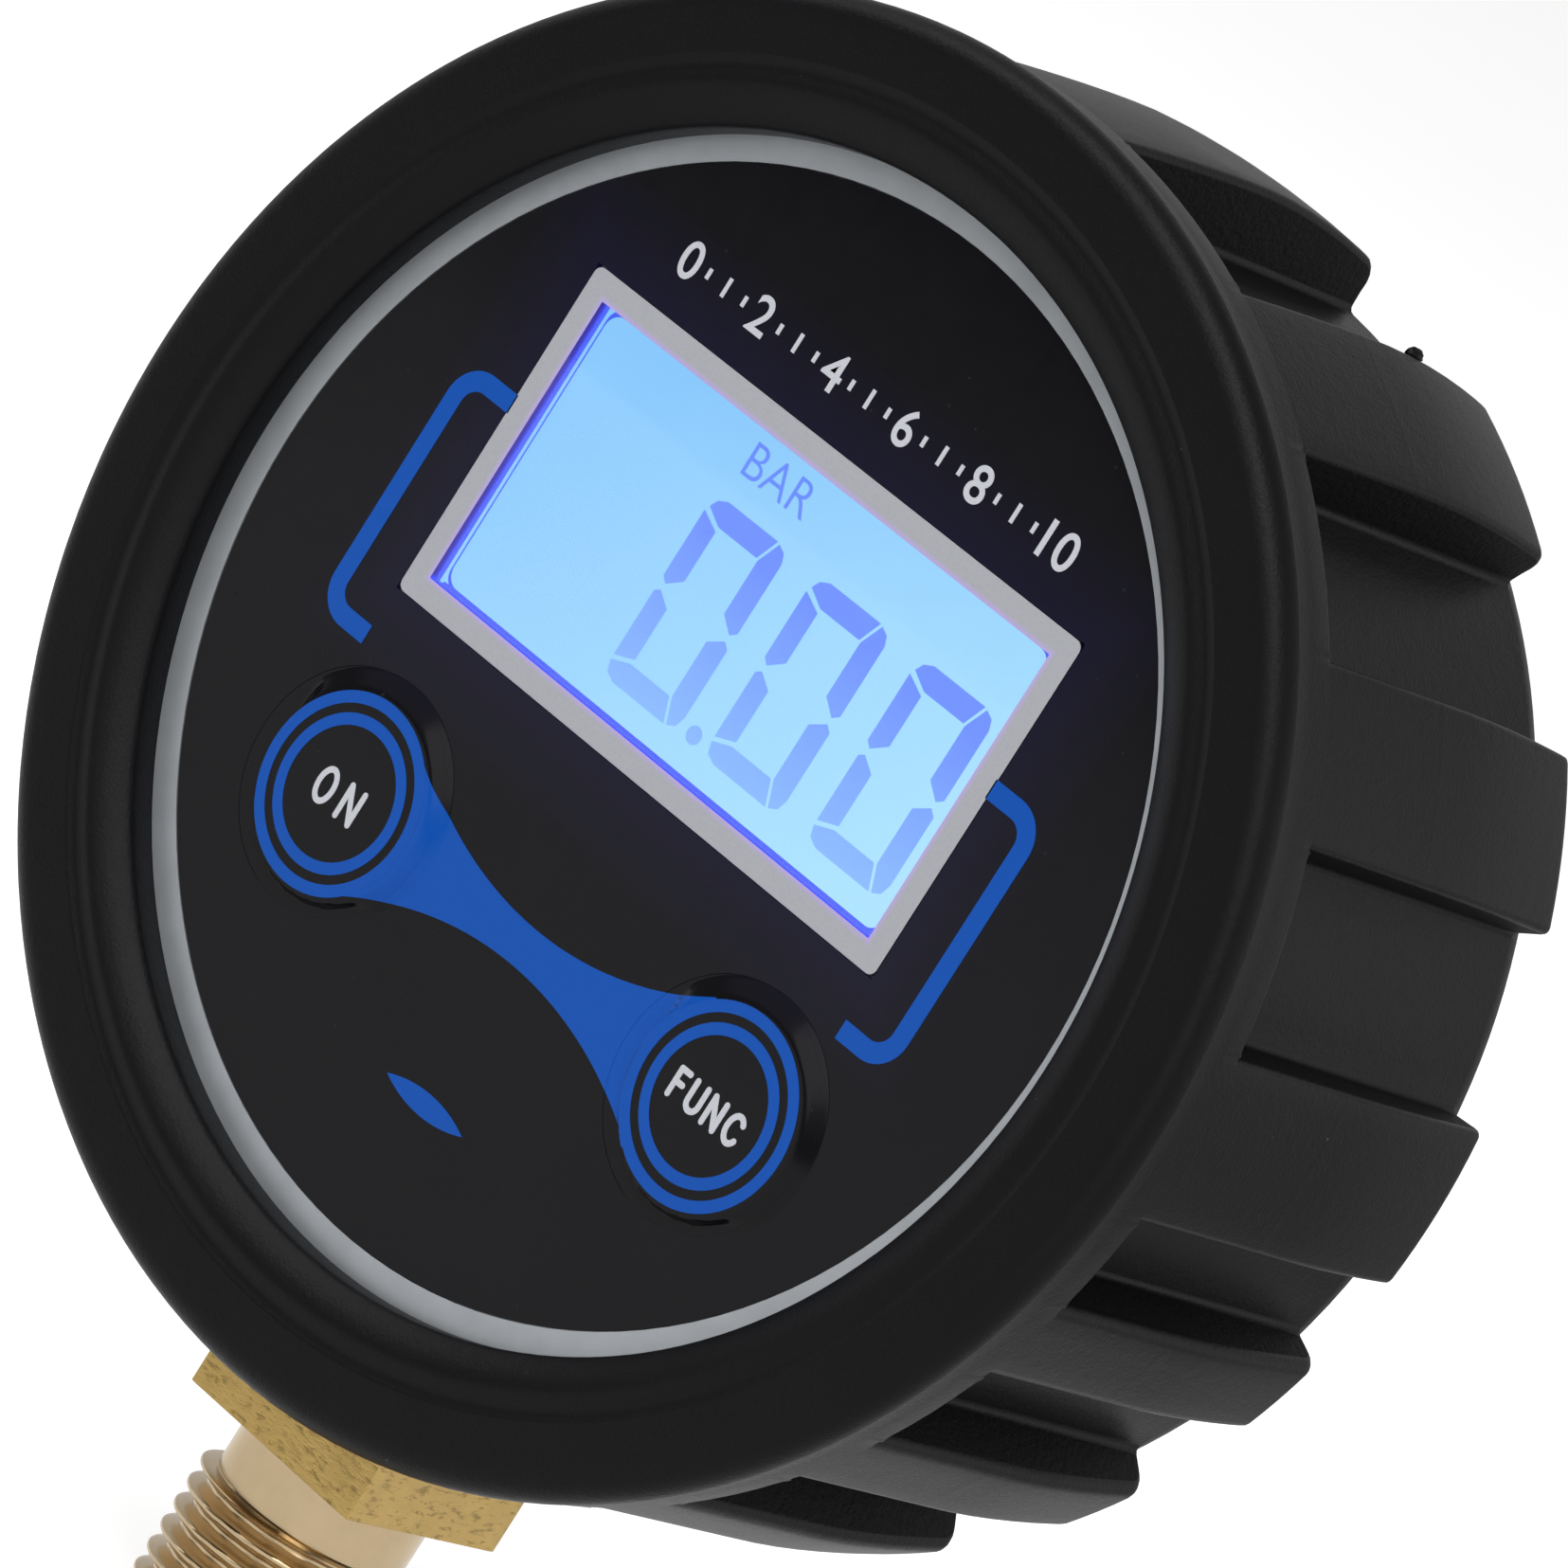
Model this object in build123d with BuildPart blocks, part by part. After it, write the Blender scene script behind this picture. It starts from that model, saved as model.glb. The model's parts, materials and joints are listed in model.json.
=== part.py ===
from build123d import *
import os
from math import cos, radians, sin

# Digital pressure gauge in a rubber boot, with a brass stem that enters from below.
# Millimetres. +Z is up along the stem, the dial faces -Y and +X is to the right of the dial.
# The origin is on the stem's axis, where the connection thread meets the neck above it.
# "Depth" is the distance behind the dial's face, and "height" on the dial is measured from its centre.

# ---------------------------------------------------------------- driving dimensions
# Stem: thread, neck, spanner square and the collar that seats on the case
thread_radius = 6.58
thread_length = 10.4
thread_chamfer = 0.9
neck_radius = 5.6
neck_length = 3.2
square_across_flats = 13.0
square_height = 7.0
collar_height = 1.4
port_radius = 1.6

# Case: a cup with a front wall that carries the overlay. It stands over the stem's collar.
case_radius = 31.5
case_wall = 1.9
case_depth = 25.4
rim_width = 1.5
rim_rounding = 0.35
front_wall = 1.6
overlay_thickness = 0.4
overlay_recess = 0.45
dial_scale = case_radius / 31.5

# Dial window and display: their widths and heights grow with the case
window_width = 34.8 * dial_scale
window_height = 16.86 * dial_scale
window_centre = 7.65 * dial_scale
window_border = 1.45
pane_corner = 0.4
lcd_side_margin = 1.8
lcd_end_margin = 2.57
lcd_rear_margin = 0.57
lcd_plate = 1.0
lcd_setback = 1.05
light_guide_side_inset = 0.1
light_guide_end_margin = 0.27
reflector_thickness = 0.2
led_thickness = 1.0
led_height = 3.0
holder_wall = 0.8
holder_corner = 1.0
zebra_inset = 1.0
zebra_thickness = 1.5

# Push buttons
button_spacing = 29.7 * dial_scale
button_drop = 12.4 * dial_scale
button_radius = 6.6 * dial_scale
button_rise = 0.4
button_slope = 1.5
button_flange_lap = 0.9
button_flange = 0.8
button_post_radius = 1.8
button_post = 0.4
button_travel = 0.35

# Main board
board_depth = 7.0
board_thickness = 1.6
board_edge_gap = 0.8
switch_width = 6.0
switch_height = 2.9
switch_corner = 0.6
plunger_radius = 1.7
plunger_buried = 1.2
plunger_free_depth = 0.2
board_boss_radius = 2.2
board_boss_pilot = 4.2
board_boss_clearance = 0.5
board_boss_edge = 2.7
board_boss_angles = (65.0, 115.0, 243.3, 296.7)
stem_cut_clearance = 1.2
stem_cut_rise = 0.8

# Stem end inside the case, with the collar and the boss that it is drawn up against
spigot_radius = 7.0
spigot_reach = 10.0
collar_lap = 1.9
stem_boss_lap = 2.0
stem_boss_setback = 2.1
stem_boss_drop = 1.9
stem_pad_rise = 1.3
gasket_thickness = 0.8
circlip_thickness = 1.0
circlip_lap = 0.8
circlip_groove = 0.5
circlip_opening = 4.0
sensor_wall = 1.5
sensor_height = 3.8
sensor_diaphragm = 1.5
sensor_pocket_depth = 6.2
sensor_ring_height = 0.9
sensor_ring_width = 1.9
sensor_seat_gap = 0.02
o_ring_inset = 1.3
o_ring_section = 0.6

# Chips on the back of the board: name, place on the dial, width, height, thickness
board_chips = [
    ("microcontroller", (-9.0, 4.0), 7.0, 7.0, 1.2),
    ("sensor_amplifier", (6.0, -4.5), 5.0, 4.0, 1.2),
    ("clock_crystal", (-9.0, -4.0), 6.4, 2.4, 2.2),
]
chip_corner = 0.3
capacitor_size = (1.6, 0.8, 0.8)
capacitor_pitch = (3.0, 2.6)
capacitor_columns, capacitor_rows = 4, 3
capacitor_place = (2.0, 8.0)
connector_height = 3.2
connector_thickness = 2.6
connector_side = 1.2
connector_rise = 1.2
ribbon_width = 6.0
ribbon_thickness = 0.2
ribbon_insert = 1.2

# Screws: shank radius, head radius, head height and length held in the boss
board_screw_shank, board_screw_head, board_screw_rise, board_screw_grip = 0.95, 1.9, 1.2, 4.0
cover_screw_shank, cover_screw_head, cover_screw_rise, cover_screw_grip = 1.2, 2.0, 1.1, 8.0
door_screw_shank, door_screw_head, door_screw_rise, door_screw_grip = 1.0, 1.9, 0.9, 4.4
recess_reach = 1.2
recess_width = 0.3
recess_depth = 0.6
cover_screw_sink = 1.2
door_screw_sink = 1.0
cover_pilot_extra = 1.0
door_pilot_extra = 0.6

# Rear cover, battery tray and door
cover_thickness = 2.0
cover_seal = 0.6
cover_boss_radius = 2.5
cover_boss_inset = 0.1
cover_boss_gap = 1.0
cover_boss_edge = 4.1
cover_chamfer = 0.4
cover_seal_inset = 0.3
cell_radius = 5.25 * dial_scale
cell_length = 44.5 * dial_scale
cell_gap = 1.7
tray_wall = 1.7
tray_floor = 1.0
tray_slack = 1.95
tray_side_slack = 0.4
tray_corner = 1.0
cell_door_gap = 0.9
cell_floor_gap = 0.15
door_thickness = 1.6
door_seal = 0.5
door_seal_inset = 0.1
door_seal_bore_gap = 0.3
door_screw_outset = 2.2
door_tab_radius = 3.2
door_boss_radius = 2.6
door_boss_length = 6.5
door_rib_width = 1.0
door_rib_height = 0.5
door_rib_pitch = 2.4
door_rib_length = 12.0
breather_radius = 1.5
breather_head_radius = 2.6
breather_head = 0.9
breather_gap = 1.0
cell_nub_radius = 1.9
cell_nub_length = 0.8
contact_sheet = 0.4
contact_spring_sheet = 0.3
contact_height = 8.0
leaf_width = 6.0
leaf_height = 6.8
leaf_crest = 1.6
tail_width = 1.2

# Rubber boot. The shares divide its width from the lip to the flange's edge.
boot_flange_radius = case_radius + 7.4
boot_lip_gap = 0.1
boot_lip_rise = 1.6
boot_front = 2.9
boot_shoulder_share = 0.206
boot_groove_share = 0.384
boot_groove_width_share = 0.19
boot_rounding_share = 0.205
boot_wall_share = 0.48
boot_groove_depth = 0.45
boot_flange_back = -1.3
boot_band_back = 2.1
boot_band_step = 0.3
boot_lug_taper = 0.8
boot_lug_crest = 16.0
boot_lug_end_setback = 0.8
boot_crown_rises = {60.0: 0.45, 90.0: 0.75, 120.0: 0.45}
boot_crown_share = 0.75
boot_crown_overlap = 0.5
boot_lug_chamfer = 0.7
boot_rear_depth = 1.8
boot_rear_lap = 1.9
boot_turn = 1.7
boot_rib_depth = 15.0
boot_rib_width = 1.8
boot_rib_height = 0.6
wide_lug_angle = 14.0
wide_lug_pitch = 30.0
narrow_lug_angle = 8.0
narrow_lug_pitch = 18.0
lug_end_gap = 8.7
boot_stem_clearance = 0.4

# Clearances
slip = 0.1
running = 0.05
screw_slip = 0.05

# ---------------------------------------------------------------- sizes worked out from them
square_top = neck_length + square_height
collar_top = square_top + collar_height

case_inner_radius = case_radius - case_wall
rim_inner_radius = case_radius - rim_width
front_wall_back = overlay_recess + front_wall
pane_width = window_width + 2 * window_border
pane_height = window_height + 2 * window_border
lcd_width = window_width + 2 * lcd_side_margin
lcd_height = window_height + 2 * lcd_end_margin
lcd_rear_height = window_height + 2 * lcd_rear_margin
light_guide_width = window_width - 2 * light_guide_side_inset
light_guide_height = window_height + 2 * light_guide_end_margin

collar_radius = spigot_radius + collar_lap
circlip_radius = spigot_radius + circlip_lap
stem_boss_radius = spigot_radius + stem_boss_lap
stem_depth = stem_boss_radius + stem_boss_setback
stem_boss_height = collar_top + gasket_thickness
dial_height = stem_boss_height + stem_boss_drop + case_radius
stem_pad_height = stem_boss_height + stem_boss_drop + case_wall + stem_pad_rise
spigot_height = stem_pad_height + circlip_thickness + spigot_reach
sensor_radius = spigot_radius - sensor_wall
sensor_floor = spigot_height - sensor_pocket_depth
sensor_bottom = sensor_floor + 2 * o_ring_section + sensor_seat_gap
sensor_top = sensor_bottom + sensor_height
sensor_pocket_radius = sensor_radius + running
o_ring_radius = sensor_radius - o_ring_inset

button_crown_radius = button_radius - button_slope
button_flange_radius = button_radius + button_flange_lap
board_radius = case_inner_radius - board_edge_gap
board_back = board_depth + board_thickness
switch_front = board_depth - switch_height
button_flange_front = front_wall_back + running
button_flange_back = button_flange_front + button_flange
plunger_front = button_flange_back + button_post

cover_front = case_depth + cover_seal
cover_back = cover_front + cover_thickness
door_front = cover_back - door_thickness
door_ledge = door_front - door_seal
tray_inner_width = cell_length + 2 * tray_slack
cell_pitch = 2 * cell_radius + cell_gap
tray_inner_height = cell_pitch + 2 * (cell_radius + tray_side_slack)
tray_width = tray_inner_width + 2 * tray_wall
tray_height = tray_inner_height + 2 * tray_wall
cell_depth = door_front - cell_door_gap - cell_radius
tray_floor_back = cell_depth - cell_radius - cell_floor_gap
tray_front = tray_floor_back - tray_floor
door_screw_height = tray_height / 2 + door_screw_outset

boot_lug_back = cover_back - boot_lug_end_setback
boot_back = cover_back + boot_rear_depth
boot_lip_radius = case_radius + boot_lip_gap
boot_width = boot_flange_radius - boot_lip_radius
boot_shoulder_radius = boot_lip_radius + boot_shoulder_share * boot_width
boot_groove_radius = boot_lip_radius + boot_groove_share * boot_width
boot_groove_width = boot_groove_width_share * boot_width
boot_flange_rounding = boot_rounding_share * boot_width
boot_floor_radius = boot_lip_radius + boot_wall_share * boot_width
boot_band_radius = boot_flange_radius - boot_band_step
boot_lug_end_radius = boot_band_radius - boot_lug_taper
boot_rear_opening = case_radius - boot_rear_lap

os.makedirs("parts", exist_ok=True)


# ---------------------------------------------------------------- planes and small helpers
def dial_plane(depth):
    """The plane parallel to the dial at a depth behind its face: local x is right, local y is up."""
    return Plane(origin=(0, depth - stem_depth, dial_height), x_dir=(1, 0, 0), z_dir=(0, -1, 0))


# Local x is the radius from the dial's axis, local y is the depth behind the dial's face.
radius_depth_plane = Plane(
    origin=(0, -stem_depth, dial_height), x_dir=(1, 0, 0), z_dir=(0, 0, 1)
)
dial_axis = Axis((0, -stem_depth, dial_height), (0, 1, 0))


def on_circle(radius, angle):
    """The point of the dial at a radius and an angle, counted from the right."""
    return (radius * cos(radians(angle)), radius * sin(radians(angle)))


button_places = {
    "on": (-button_spacing / 2, -button_drop),
    "func": (button_spacing / 2, -button_drop),
}
board_boss_places = [on_circle(board_radius - board_boss_edge, a) for a in board_boss_angles]
cover_screw_places = [on_circle(case_radius - cover_boss_edge, a) for a in (45, 135, 225, 315)]
door_screw_places = [(0, door_screw_height), (0, -door_screw_height)]
breather_place = (0, door_screw_height + door_tab_radius + breather_head_radius + breather_gap)


def save(builder, name):
    """Labels a finished piece and writes its STEP file."""
    builder.part.label = name
    export_step(builder.part, f"parts/{name}.step")


def sector(start, end):
    """The four corners of a wedge between two angles, reaching past the boot's floor and flange."""
    inner, outer = boot_floor_radius / 2, boot_flange_radius * 1.5
    return [
        on_circle(inner, start),
        on_circle(outer, start),
        on_circle(outer, end),
        on_circle(inner, end),
    ]


def cross_head_screws(name, places, head_front, shank_radius, head_radius, head_height, shank_length):
    """A group of pan-head cross-recess screws whose heads lie behind head_front, shanks forward."""
    with BuildPart() as screws:
        with BuildSketch(dial_plane(head_front)):
            with Locations(*places):
                Circle(head_radius)
        extrude(amount=-head_height)
        with BuildSketch(dial_plane(head_front)):
            with Locations(*places):
                Circle(shank_radius)
        extrude(amount=shank_length)
        with BuildSketch(dial_plane(head_front + head_height)):
            with Locations(*places):
                Rectangle(head_radius * recess_reach, head_radius * recess_width)
                Rectangle(head_radius * recess_width, head_radius * recess_reach)
        extrude(amount=head_height * recess_depth, mode=Mode.SUBTRACT)
    save(screws, name)


# ---------------------------------------------------------------- rubber boot
lugs = [(k * wide_lug_pitch, wide_lug_angle / 2) for k in range(7)]
for k in range(3):
    below = lug_end_gap + narrow_lug_angle / 2 + wide_lug_angle / 2 + k * narrow_lug_pitch
    lugs.append((-below, narrow_lug_angle / 2))
    lugs.append((180 + below, narrow_lug_angle / 2))

groove_inner = boot_groove_radius - boot_groove_width / 2
groove_outer = boot_groove_radius + boot_groove_width / 2
flange_shoulder = boot_flange_radius - boot_flange_rounding
rear_rounding = boot_back - boot_lug_back
rear_shoulder = boot_floor_radius - rear_rounding
rib_front = boot_rib_depth - boot_rib_width / 2
rib_back = boot_rib_depth + boot_rib_width / 2
rib_radius = boot_lip_radius - boot_rib_height

with BuildPart() as rubber_boot:
    with BuildSketch(radius_depth_plane):
        with BuildLine():
            Polyline(
                (boot_lip_radius, 0),
                (boot_lip_radius, -boot_lip_rise),
                (boot_shoulder_radius, -boot_front),
                (groove_inner, -boot_front),
            )
            # a shallow groove runs round the front face
            ThreePointArc(
                (groove_inner, -boot_front),
                (boot_groove_radius, -boot_front + boot_groove_depth),
                (groove_outer, -boot_front),
            )
            Line((groove_outer, -boot_front), (flange_shoulder, -boot_front))
            RadiusArc(
                (flange_shoulder, -boot_front),
                (boot_flange_radius, boot_flange_rounding - boot_front),
                -boot_flange_rounding,
            )
            Polyline(
                (boot_flange_radius, boot_flange_rounding - boot_front),
                (boot_flange_radius, boot_flange_back),
                (boot_band_radius, boot_flange_back),
                (boot_band_radius, boot_band_back),
                (boot_band_radius, boot_lug_crest),
                (boot_lug_end_radius, boot_lug_back - boot_lug_chamfer),
                (boot_lug_end_radius - boot_lug_chamfer, boot_lug_back),
                (boot_floor_radius, boot_lug_back),
            )
            RadiusArc((boot_floor_radius, boot_lug_back), (rear_shoulder, boot_back), -rear_rounding)
            Polyline(
                (rear_shoulder, boot_back),
                (boot_rear_opening, boot_back),
                (boot_rear_opening, cover_back + slip),
                (boot_lip_radius, cover_back + slip),
                (boot_lip_radius, rib_back),
                (rib_radius, rib_back),
                (rib_radius, rib_front),
                (boot_lip_radius, rib_front),
                (boot_lip_radius, 0),
            )
        make_face()
    revolve(axis=dial_axis)
    # pockets between the grip lugs, open to the rear
    with BuildSketch(dial_plane(boot_band_back)):
        Circle(2 * boot_flange_radius)
        Circle(boot_floor_radius, mode=Mode.SUBTRACT)
        for angle, half in lugs:
            start, end = angle + boot_turn - half, angle + boot_turn + half
            Polygon(*sector(start, end), align=None, mode=Mode.SUBTRACT)
    extrude(amount=-boot_back, mode=Mode.SUBTRACT)
    # the lugs over the top stand prouder towards the rear
    for angle, rise in boot_crown_rises.items():
        start = radians(angle + boot_turn + wide_lug_angle / 2)
        crown_back = (boot_lug_end_radius + rise, boot_lug_back - boot_lug_chamfer)
        crown_root = boot_floor_radius - boot_crown_overlap
        across = Plane(
            origin=dial_axis.position,
            x_dir=(cos(start), 0, sin(start)),
            z_dir=(-sin(start), 0, cos(start)),
        )
        with BuildSketch(across):
            with BuildLine():
                ThreePointArc(
                    (boot_band_radius, boot_band_back),
                    (boot_band_radius + rise * boot_crown_share, boot_lug_crest),
                    crown_back,
                )
                Polyline(
                    crown_back,
                    (crown_back[0] - boot_lug_chamfer, boot_lug_back),
                    (crown_root, boot_lug_back),
                    (crown_root, boot_band_back),
                    (boot_band_radius, boot_band_back),
                )
            make_face()
        revolve(axis=dial_axis, revolution_arc=wide_lug_angle)
    # hole for the stem
    with BuildSketch(Plane.XY.offset(neck_length)):
        Circle(stem_boss_radius + boot_stem_clearance)
    extrude(amount=dial_height / 2, mode=Mode.SUBTRACT)
save(rubber_boot, "rubber_boot")

# ---------------------------------------------------------------- case
with BuildPart() as case_body:
    with BuildSketch(radius_depth_plane):
        with BuildLine():
            Polyline(
                (0, overlay_recess),
                (rim_inner_radius, overlay_recess),
                (rim_inner_radius, 0),
                (case_radius - rim_rounding, 0),
            )
            RadiusArc((case_radius - rim_rounding, 0), (case_radius, rim_rounding), -rim_rounding)
            Polyline(
                (case_radius, rim_rounding),
                (case_radius, rib_front - slip),
                (rib_radius - slip, rib_front - slip),
                (rib_radius - slip, rib_back + slip),
                (case_radius, rib_back + slip),
                (case_radius, case_depth),
                (case_inner_radius, case_depth),
                (case_inner_radius, front_wall_back),
                (0, front_wall_back),
                (0, overlay_recess),
            )
        make_face()
    revolve(axis=dial_axis)
    # bosses for the board, and bosses on the side wall for the rear cover
    with BuildSketch(dial_plane(board_depth)):
        with Locations(*board_boss_places):
            Circle(board_boss_radius)
    extrude(amount=board_depth - front_wall_back + front_wall / 2)
    with BuildSketch(dial_plane(case_depth)):
        with Locations(*cover_screw_places):
            Circle(cover_boss_radius)
        Circle(case_radius - cover_boss_inset, mode=Mode.INTERSECT)
    extrude(amount=case_depth - board_back - cover_boss_gap)
    # seat for the stem: a boss outside and a pad inside, both flat
    with BuildSketch(Plane.XY.offset(stem_boss_height)):
        Circle(stem_boss_radius)
    extrude(amount=stem_pad_height - stem_boss_height)
    # window, with the display's pocket behind it
    with BuildSketch(dial_plane(overlay_recess)):
        with Locations((0, window_centre)):
            Rectangle(window_width, window_height)
    extrude(amount=-front_wall, mode=Mode.SUBTRACT)
    with BuildSketch(dial_plane(lcd_setback)):
        with Locations((0, window_centre)):
            Rectangle(lcd_width + 2 * slip, lcd_height + 2 * slip)
    extrude(amount=-front_wall, mode=Mode.SUBTRACT)
    # button holes
    with BuildSketch(dial_plane(0)):
        with Locations(*button_places.values()):
            Circle(button_radius + running)
    extrude(amount=-front_wall_back, mode=Mode.SUBTRACT)
    # screw holes
    with BuildSketch(dial_plane(board_depth)):
        with Locations(*board_boss_places):
            Circle(board_screw_shank + screw_slip)
    extrude(amount=board_boss_pilot, mode=Mode.SUBTRACT)
    with BuildSketch(dial_plane(case_depth)):
        with Locations(*cover_screw_places):
            Circle(cover_screw_shank + screw_slip)
    extrude(amount=cover_screw_grip + cover_pilot_extra, mode=Mode.SUBTRACT)
    # the stem's hole
    with BuildSketch(Plane.XY.offset(stem_boss_height)):
        Circle(spigot_radius + running)
    extrude(amount=stem_pad_height - stem_boss_height, mode=Mode.SUBTRACT)
save(case_body, "case_body")

# ---------------------------------------------------------------- face overlay and window pane
with BuildPart() as face_overlay:
    with BuildSketch(dial_plane(overlay_recess)):
        Circle(rim_inner_radius - running)
        with Locations((0, window_centre)):
            Rectangle(pane_width + 2 * running, pane_height + 2 * running, mode=Mode.SUBTRACT)
        with Locations(*button_places.values()):
            Circle(button_radius + running, mode=Mode.SUBTRACT)
    extrude(amount=overlay_thickness)
save(face_overlay, "face_overlay")

with BuildPart() as lcd_window:
    with BuildSketch(dial_plane(overlay_recess)):
        with Locations((0, window_centre)):
            RectangleRounded(pane_width, pane_height, pane_corner)
    extrude(amount=overlay_thickness)
save(lcd_window, "lcd_window")

# ---------------------------------------------------------------- push buttons, switches, plungers
for side, place in button_places.items():
    with BuildPart() as button:
        with BuildSketch(dial_plane(button_flange_back)):
            with Locations(place):
                Circle(button_flange_radius)
        extrude(amount=button_flange)
        with BuildSketch(dial_plane(button_flange_front)):
            with Locations(place):
                Circle(button_radius)
        extrude(amount=button_flange_front)
        # the crown narrows from the full radius to a flat top
        with BuildSketch(dial_plane(0)):
            with Locations(place):
                Circle(button_radius)
        with BuildSketch(dial_plane(-button_rise)):
            with Locations(place):
                Circle(button_crown_radius)
        loft()
        with BuildSketch(dial_plane(plunger_front)):
            with Locations(place):
                Circle(button_post_radius)
        extrude(amount=button_post)
    save(button, f"button_{side}")

    with BuildPart() as switch:
        with BuildSketch(dial_plane(board_depth)):
            with Locations(place):
                RectangleRounded(switch_width, switch_width, switch_corner)
        extrude(amount=switch_height)
        with BuildSketch(dial_plane(switch_front)):
            with Locations(place):
                Circle(plunger_radius + running)
        extrude(amount=-(plunger_buried + button_travel + plunger_free_depth), mode=Mode.SUBTRACT)
    save(switch, f"switch_{side}")

    with BuildPart() as plunger:
        with BuildSketch(dial_plane(plunger_front)):
            with Locations(place):
                Circle(plunger_radius)
        extrude(amount=-(switch_front - plunger_front + plunger_buried))
    save(plunger, f"plunger_{side}")

# ---------------------------------------------------------------- display stack
lcd_front_back = lcd_setback + lcd_plate
lcd_back = lcd_front_back + lcd_plate

with BuildPart() as lcd_glass:
    with BuildSketch(dial_plane(lcd_setback)):
        with Locations((0, window_centre)):
            Rectangle(lcd_width, lcd_height)
    extrude(amount=-lcd_plate)
    with BuildSketch(dial_plane(lcd_front_back)):
        with Locations((0, window_centre)):
            Rectangle(lcd_width, lcd_rear_height)
    extrude(amount=-lcd_plate)
save(lcd_glass, "lcd_glass")

with BuildPart() as lcd_holder:
    with BuildSketch(dial_plane(front_wall_back)):
        with Locations((0, window_centre)):
            RectangleRounded(
                lcd_width + 2 * (slip + holder_wall),
                lcd_height + 2 * (slip + holder_wall),
                holder_corner,
            )
            Rectangle(lcd_width + 2 * slip, lcd_height + 2 * slip, mode=Mode.SUBTRACT)
    extrude(amount=-(board_depth - front_wall_back))
save(lcd_holder, "lcd_holder")

with BuildPart() as light_guide:
    with BuildSketch(dial_plane(lcd_back)):
        with Locations((0, window_centre)):
            Rectangle(light_guide_width, light_guide_height)
    extrude(amount=-(board_depth - reflector_thickness - lcd_back))
save(light_guide, "light_guide")

with BuildPart() as reflector_film:
    with BuildSketch(dial_plane(board_depth - reflector_thickness)):
        with Locations((0, window_centre)):
            Rectangle(light_guide_width, light_guide_height)
    extrude(amount=-reflector_thickness)
save(reflector_film, "reflector_film")

led_offset = light_guide_width / 2 + 2 * slip + led_thickness / 2
with BuildPart() as backlight_leds:
    with BuildSketch(dial_plane(board_depth)):
        with Locations((0, window_centre)):
            with GridLocations(2 * led_offset, light_guide_height / 2, 2, 2):
                Rectangle(led_thickness, led_height)
    extrude(amount=board_depth - lcd_back - led_thickness / 2)
save(backlight_leds, "backlight_leds")

zebra_offset = (lcd_height + lcd_rear_height) / 4
for side, sign in (("upper", 1), ("lower", -1)):
    with BuildPart() as zebra_strip:
        with BuildSketch(dial_plane(lcd_front_back)):
            with Locations((0, window_centre + sign * zebra_offset)):
                Rectangle(lcd_width - 2 * zebra_inset, zebra_thickness)
        extrude(amount=-(board_depth - lcd_front_back))
    save(zebra_strip, f"zebra_strip_{side}")

# ---------------------------------------------------------------- main board and what is soldered to it
stem_cut_width = 2 * (spigot_radius + stem_cut_clearance)
stem_cut_top = spigot_height - dial_height + stem_cut_rise
with BuildPart() as main_board:
    with BuildSketch(dial_plane(board_depth)):
        Circle(board_radius)
        with Locations((0, stem_cut_top - board_radius / 2)):
            Rectangle(stem_cut_width, board_radius, mode=Mode.SUBTRACT)
        with Locations(*cover_screw_places):
            Circle(cover_boss_radius + board_boss_clearance, mode=Mode.SUBTRACT)
        with Locations(*board_boss_places):
            Circle(board_screw_shank + slip, mode=Mode.SUBTRACT)
    extrude(amount=-board_thickness)
save(main_board, "main_board")

for name, place, width, height, thickness in board_chips:
    with BuildPart() as chip:
        with BuildSketch(dial_plane(board_back)):
            with Locations(place):
                RectangleRounded(width, height, chip_corner)
        extrude(amount=-thickness)
    save(chip, name)

with BuildPart() as capacitors:
    with BuildSketch(dial_plane(board_back)):
        with Locations(capacitor_place):
            with GridLocations(*capacitor_pitch, capacitor_columns, capacitor_rows):
                Rectangle(capacitor_size[0], capacitor_size[1])
    extrude(amount=-capacitor_size[2])
save(capacitors, "capacitors")

connector_bottom = stem_cut_top + connector_rise
with BuildPart() as sensor_connector:
    with BuildSketch(dial_plane(board_back)):
        with Locations((0, connector_bottom + connector_height / 2)):
            Rectangle(ribbon_width + 2 * connector_side, connector_height)
    extrude(amount=-connector_thickness)
    with BuildSketch(Plane.XY.offset(dial_height + connector_bottom)):
        Rectangle(ribbon_width + 2 * slip, ribbon_thickness + 2 * running)
    extrude(amount=ribbon_insert + slip, mode=Mode.SUBTRACT)
save(sensor_connector, "sensor_connector")

with BuildPart() as sensor_ribbon:
    with BuildSketch(Plane.XY.offset(sensor_top)):
        Rectangle(ribbon_width, ribbon_thickness)
    extrude(amount=dial_height + connector_bottom + ribbon_insert - sensor_top)
save(sensor_ribbon, "sensor_ribbon")

cross_head_screws(
    "board_screws",
    board_boss_places,
    board_back,
    board_screw_shank,
    board_screw_head,
    board_screw_rise,
    board_thickness + board_screw_grip,
)

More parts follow.
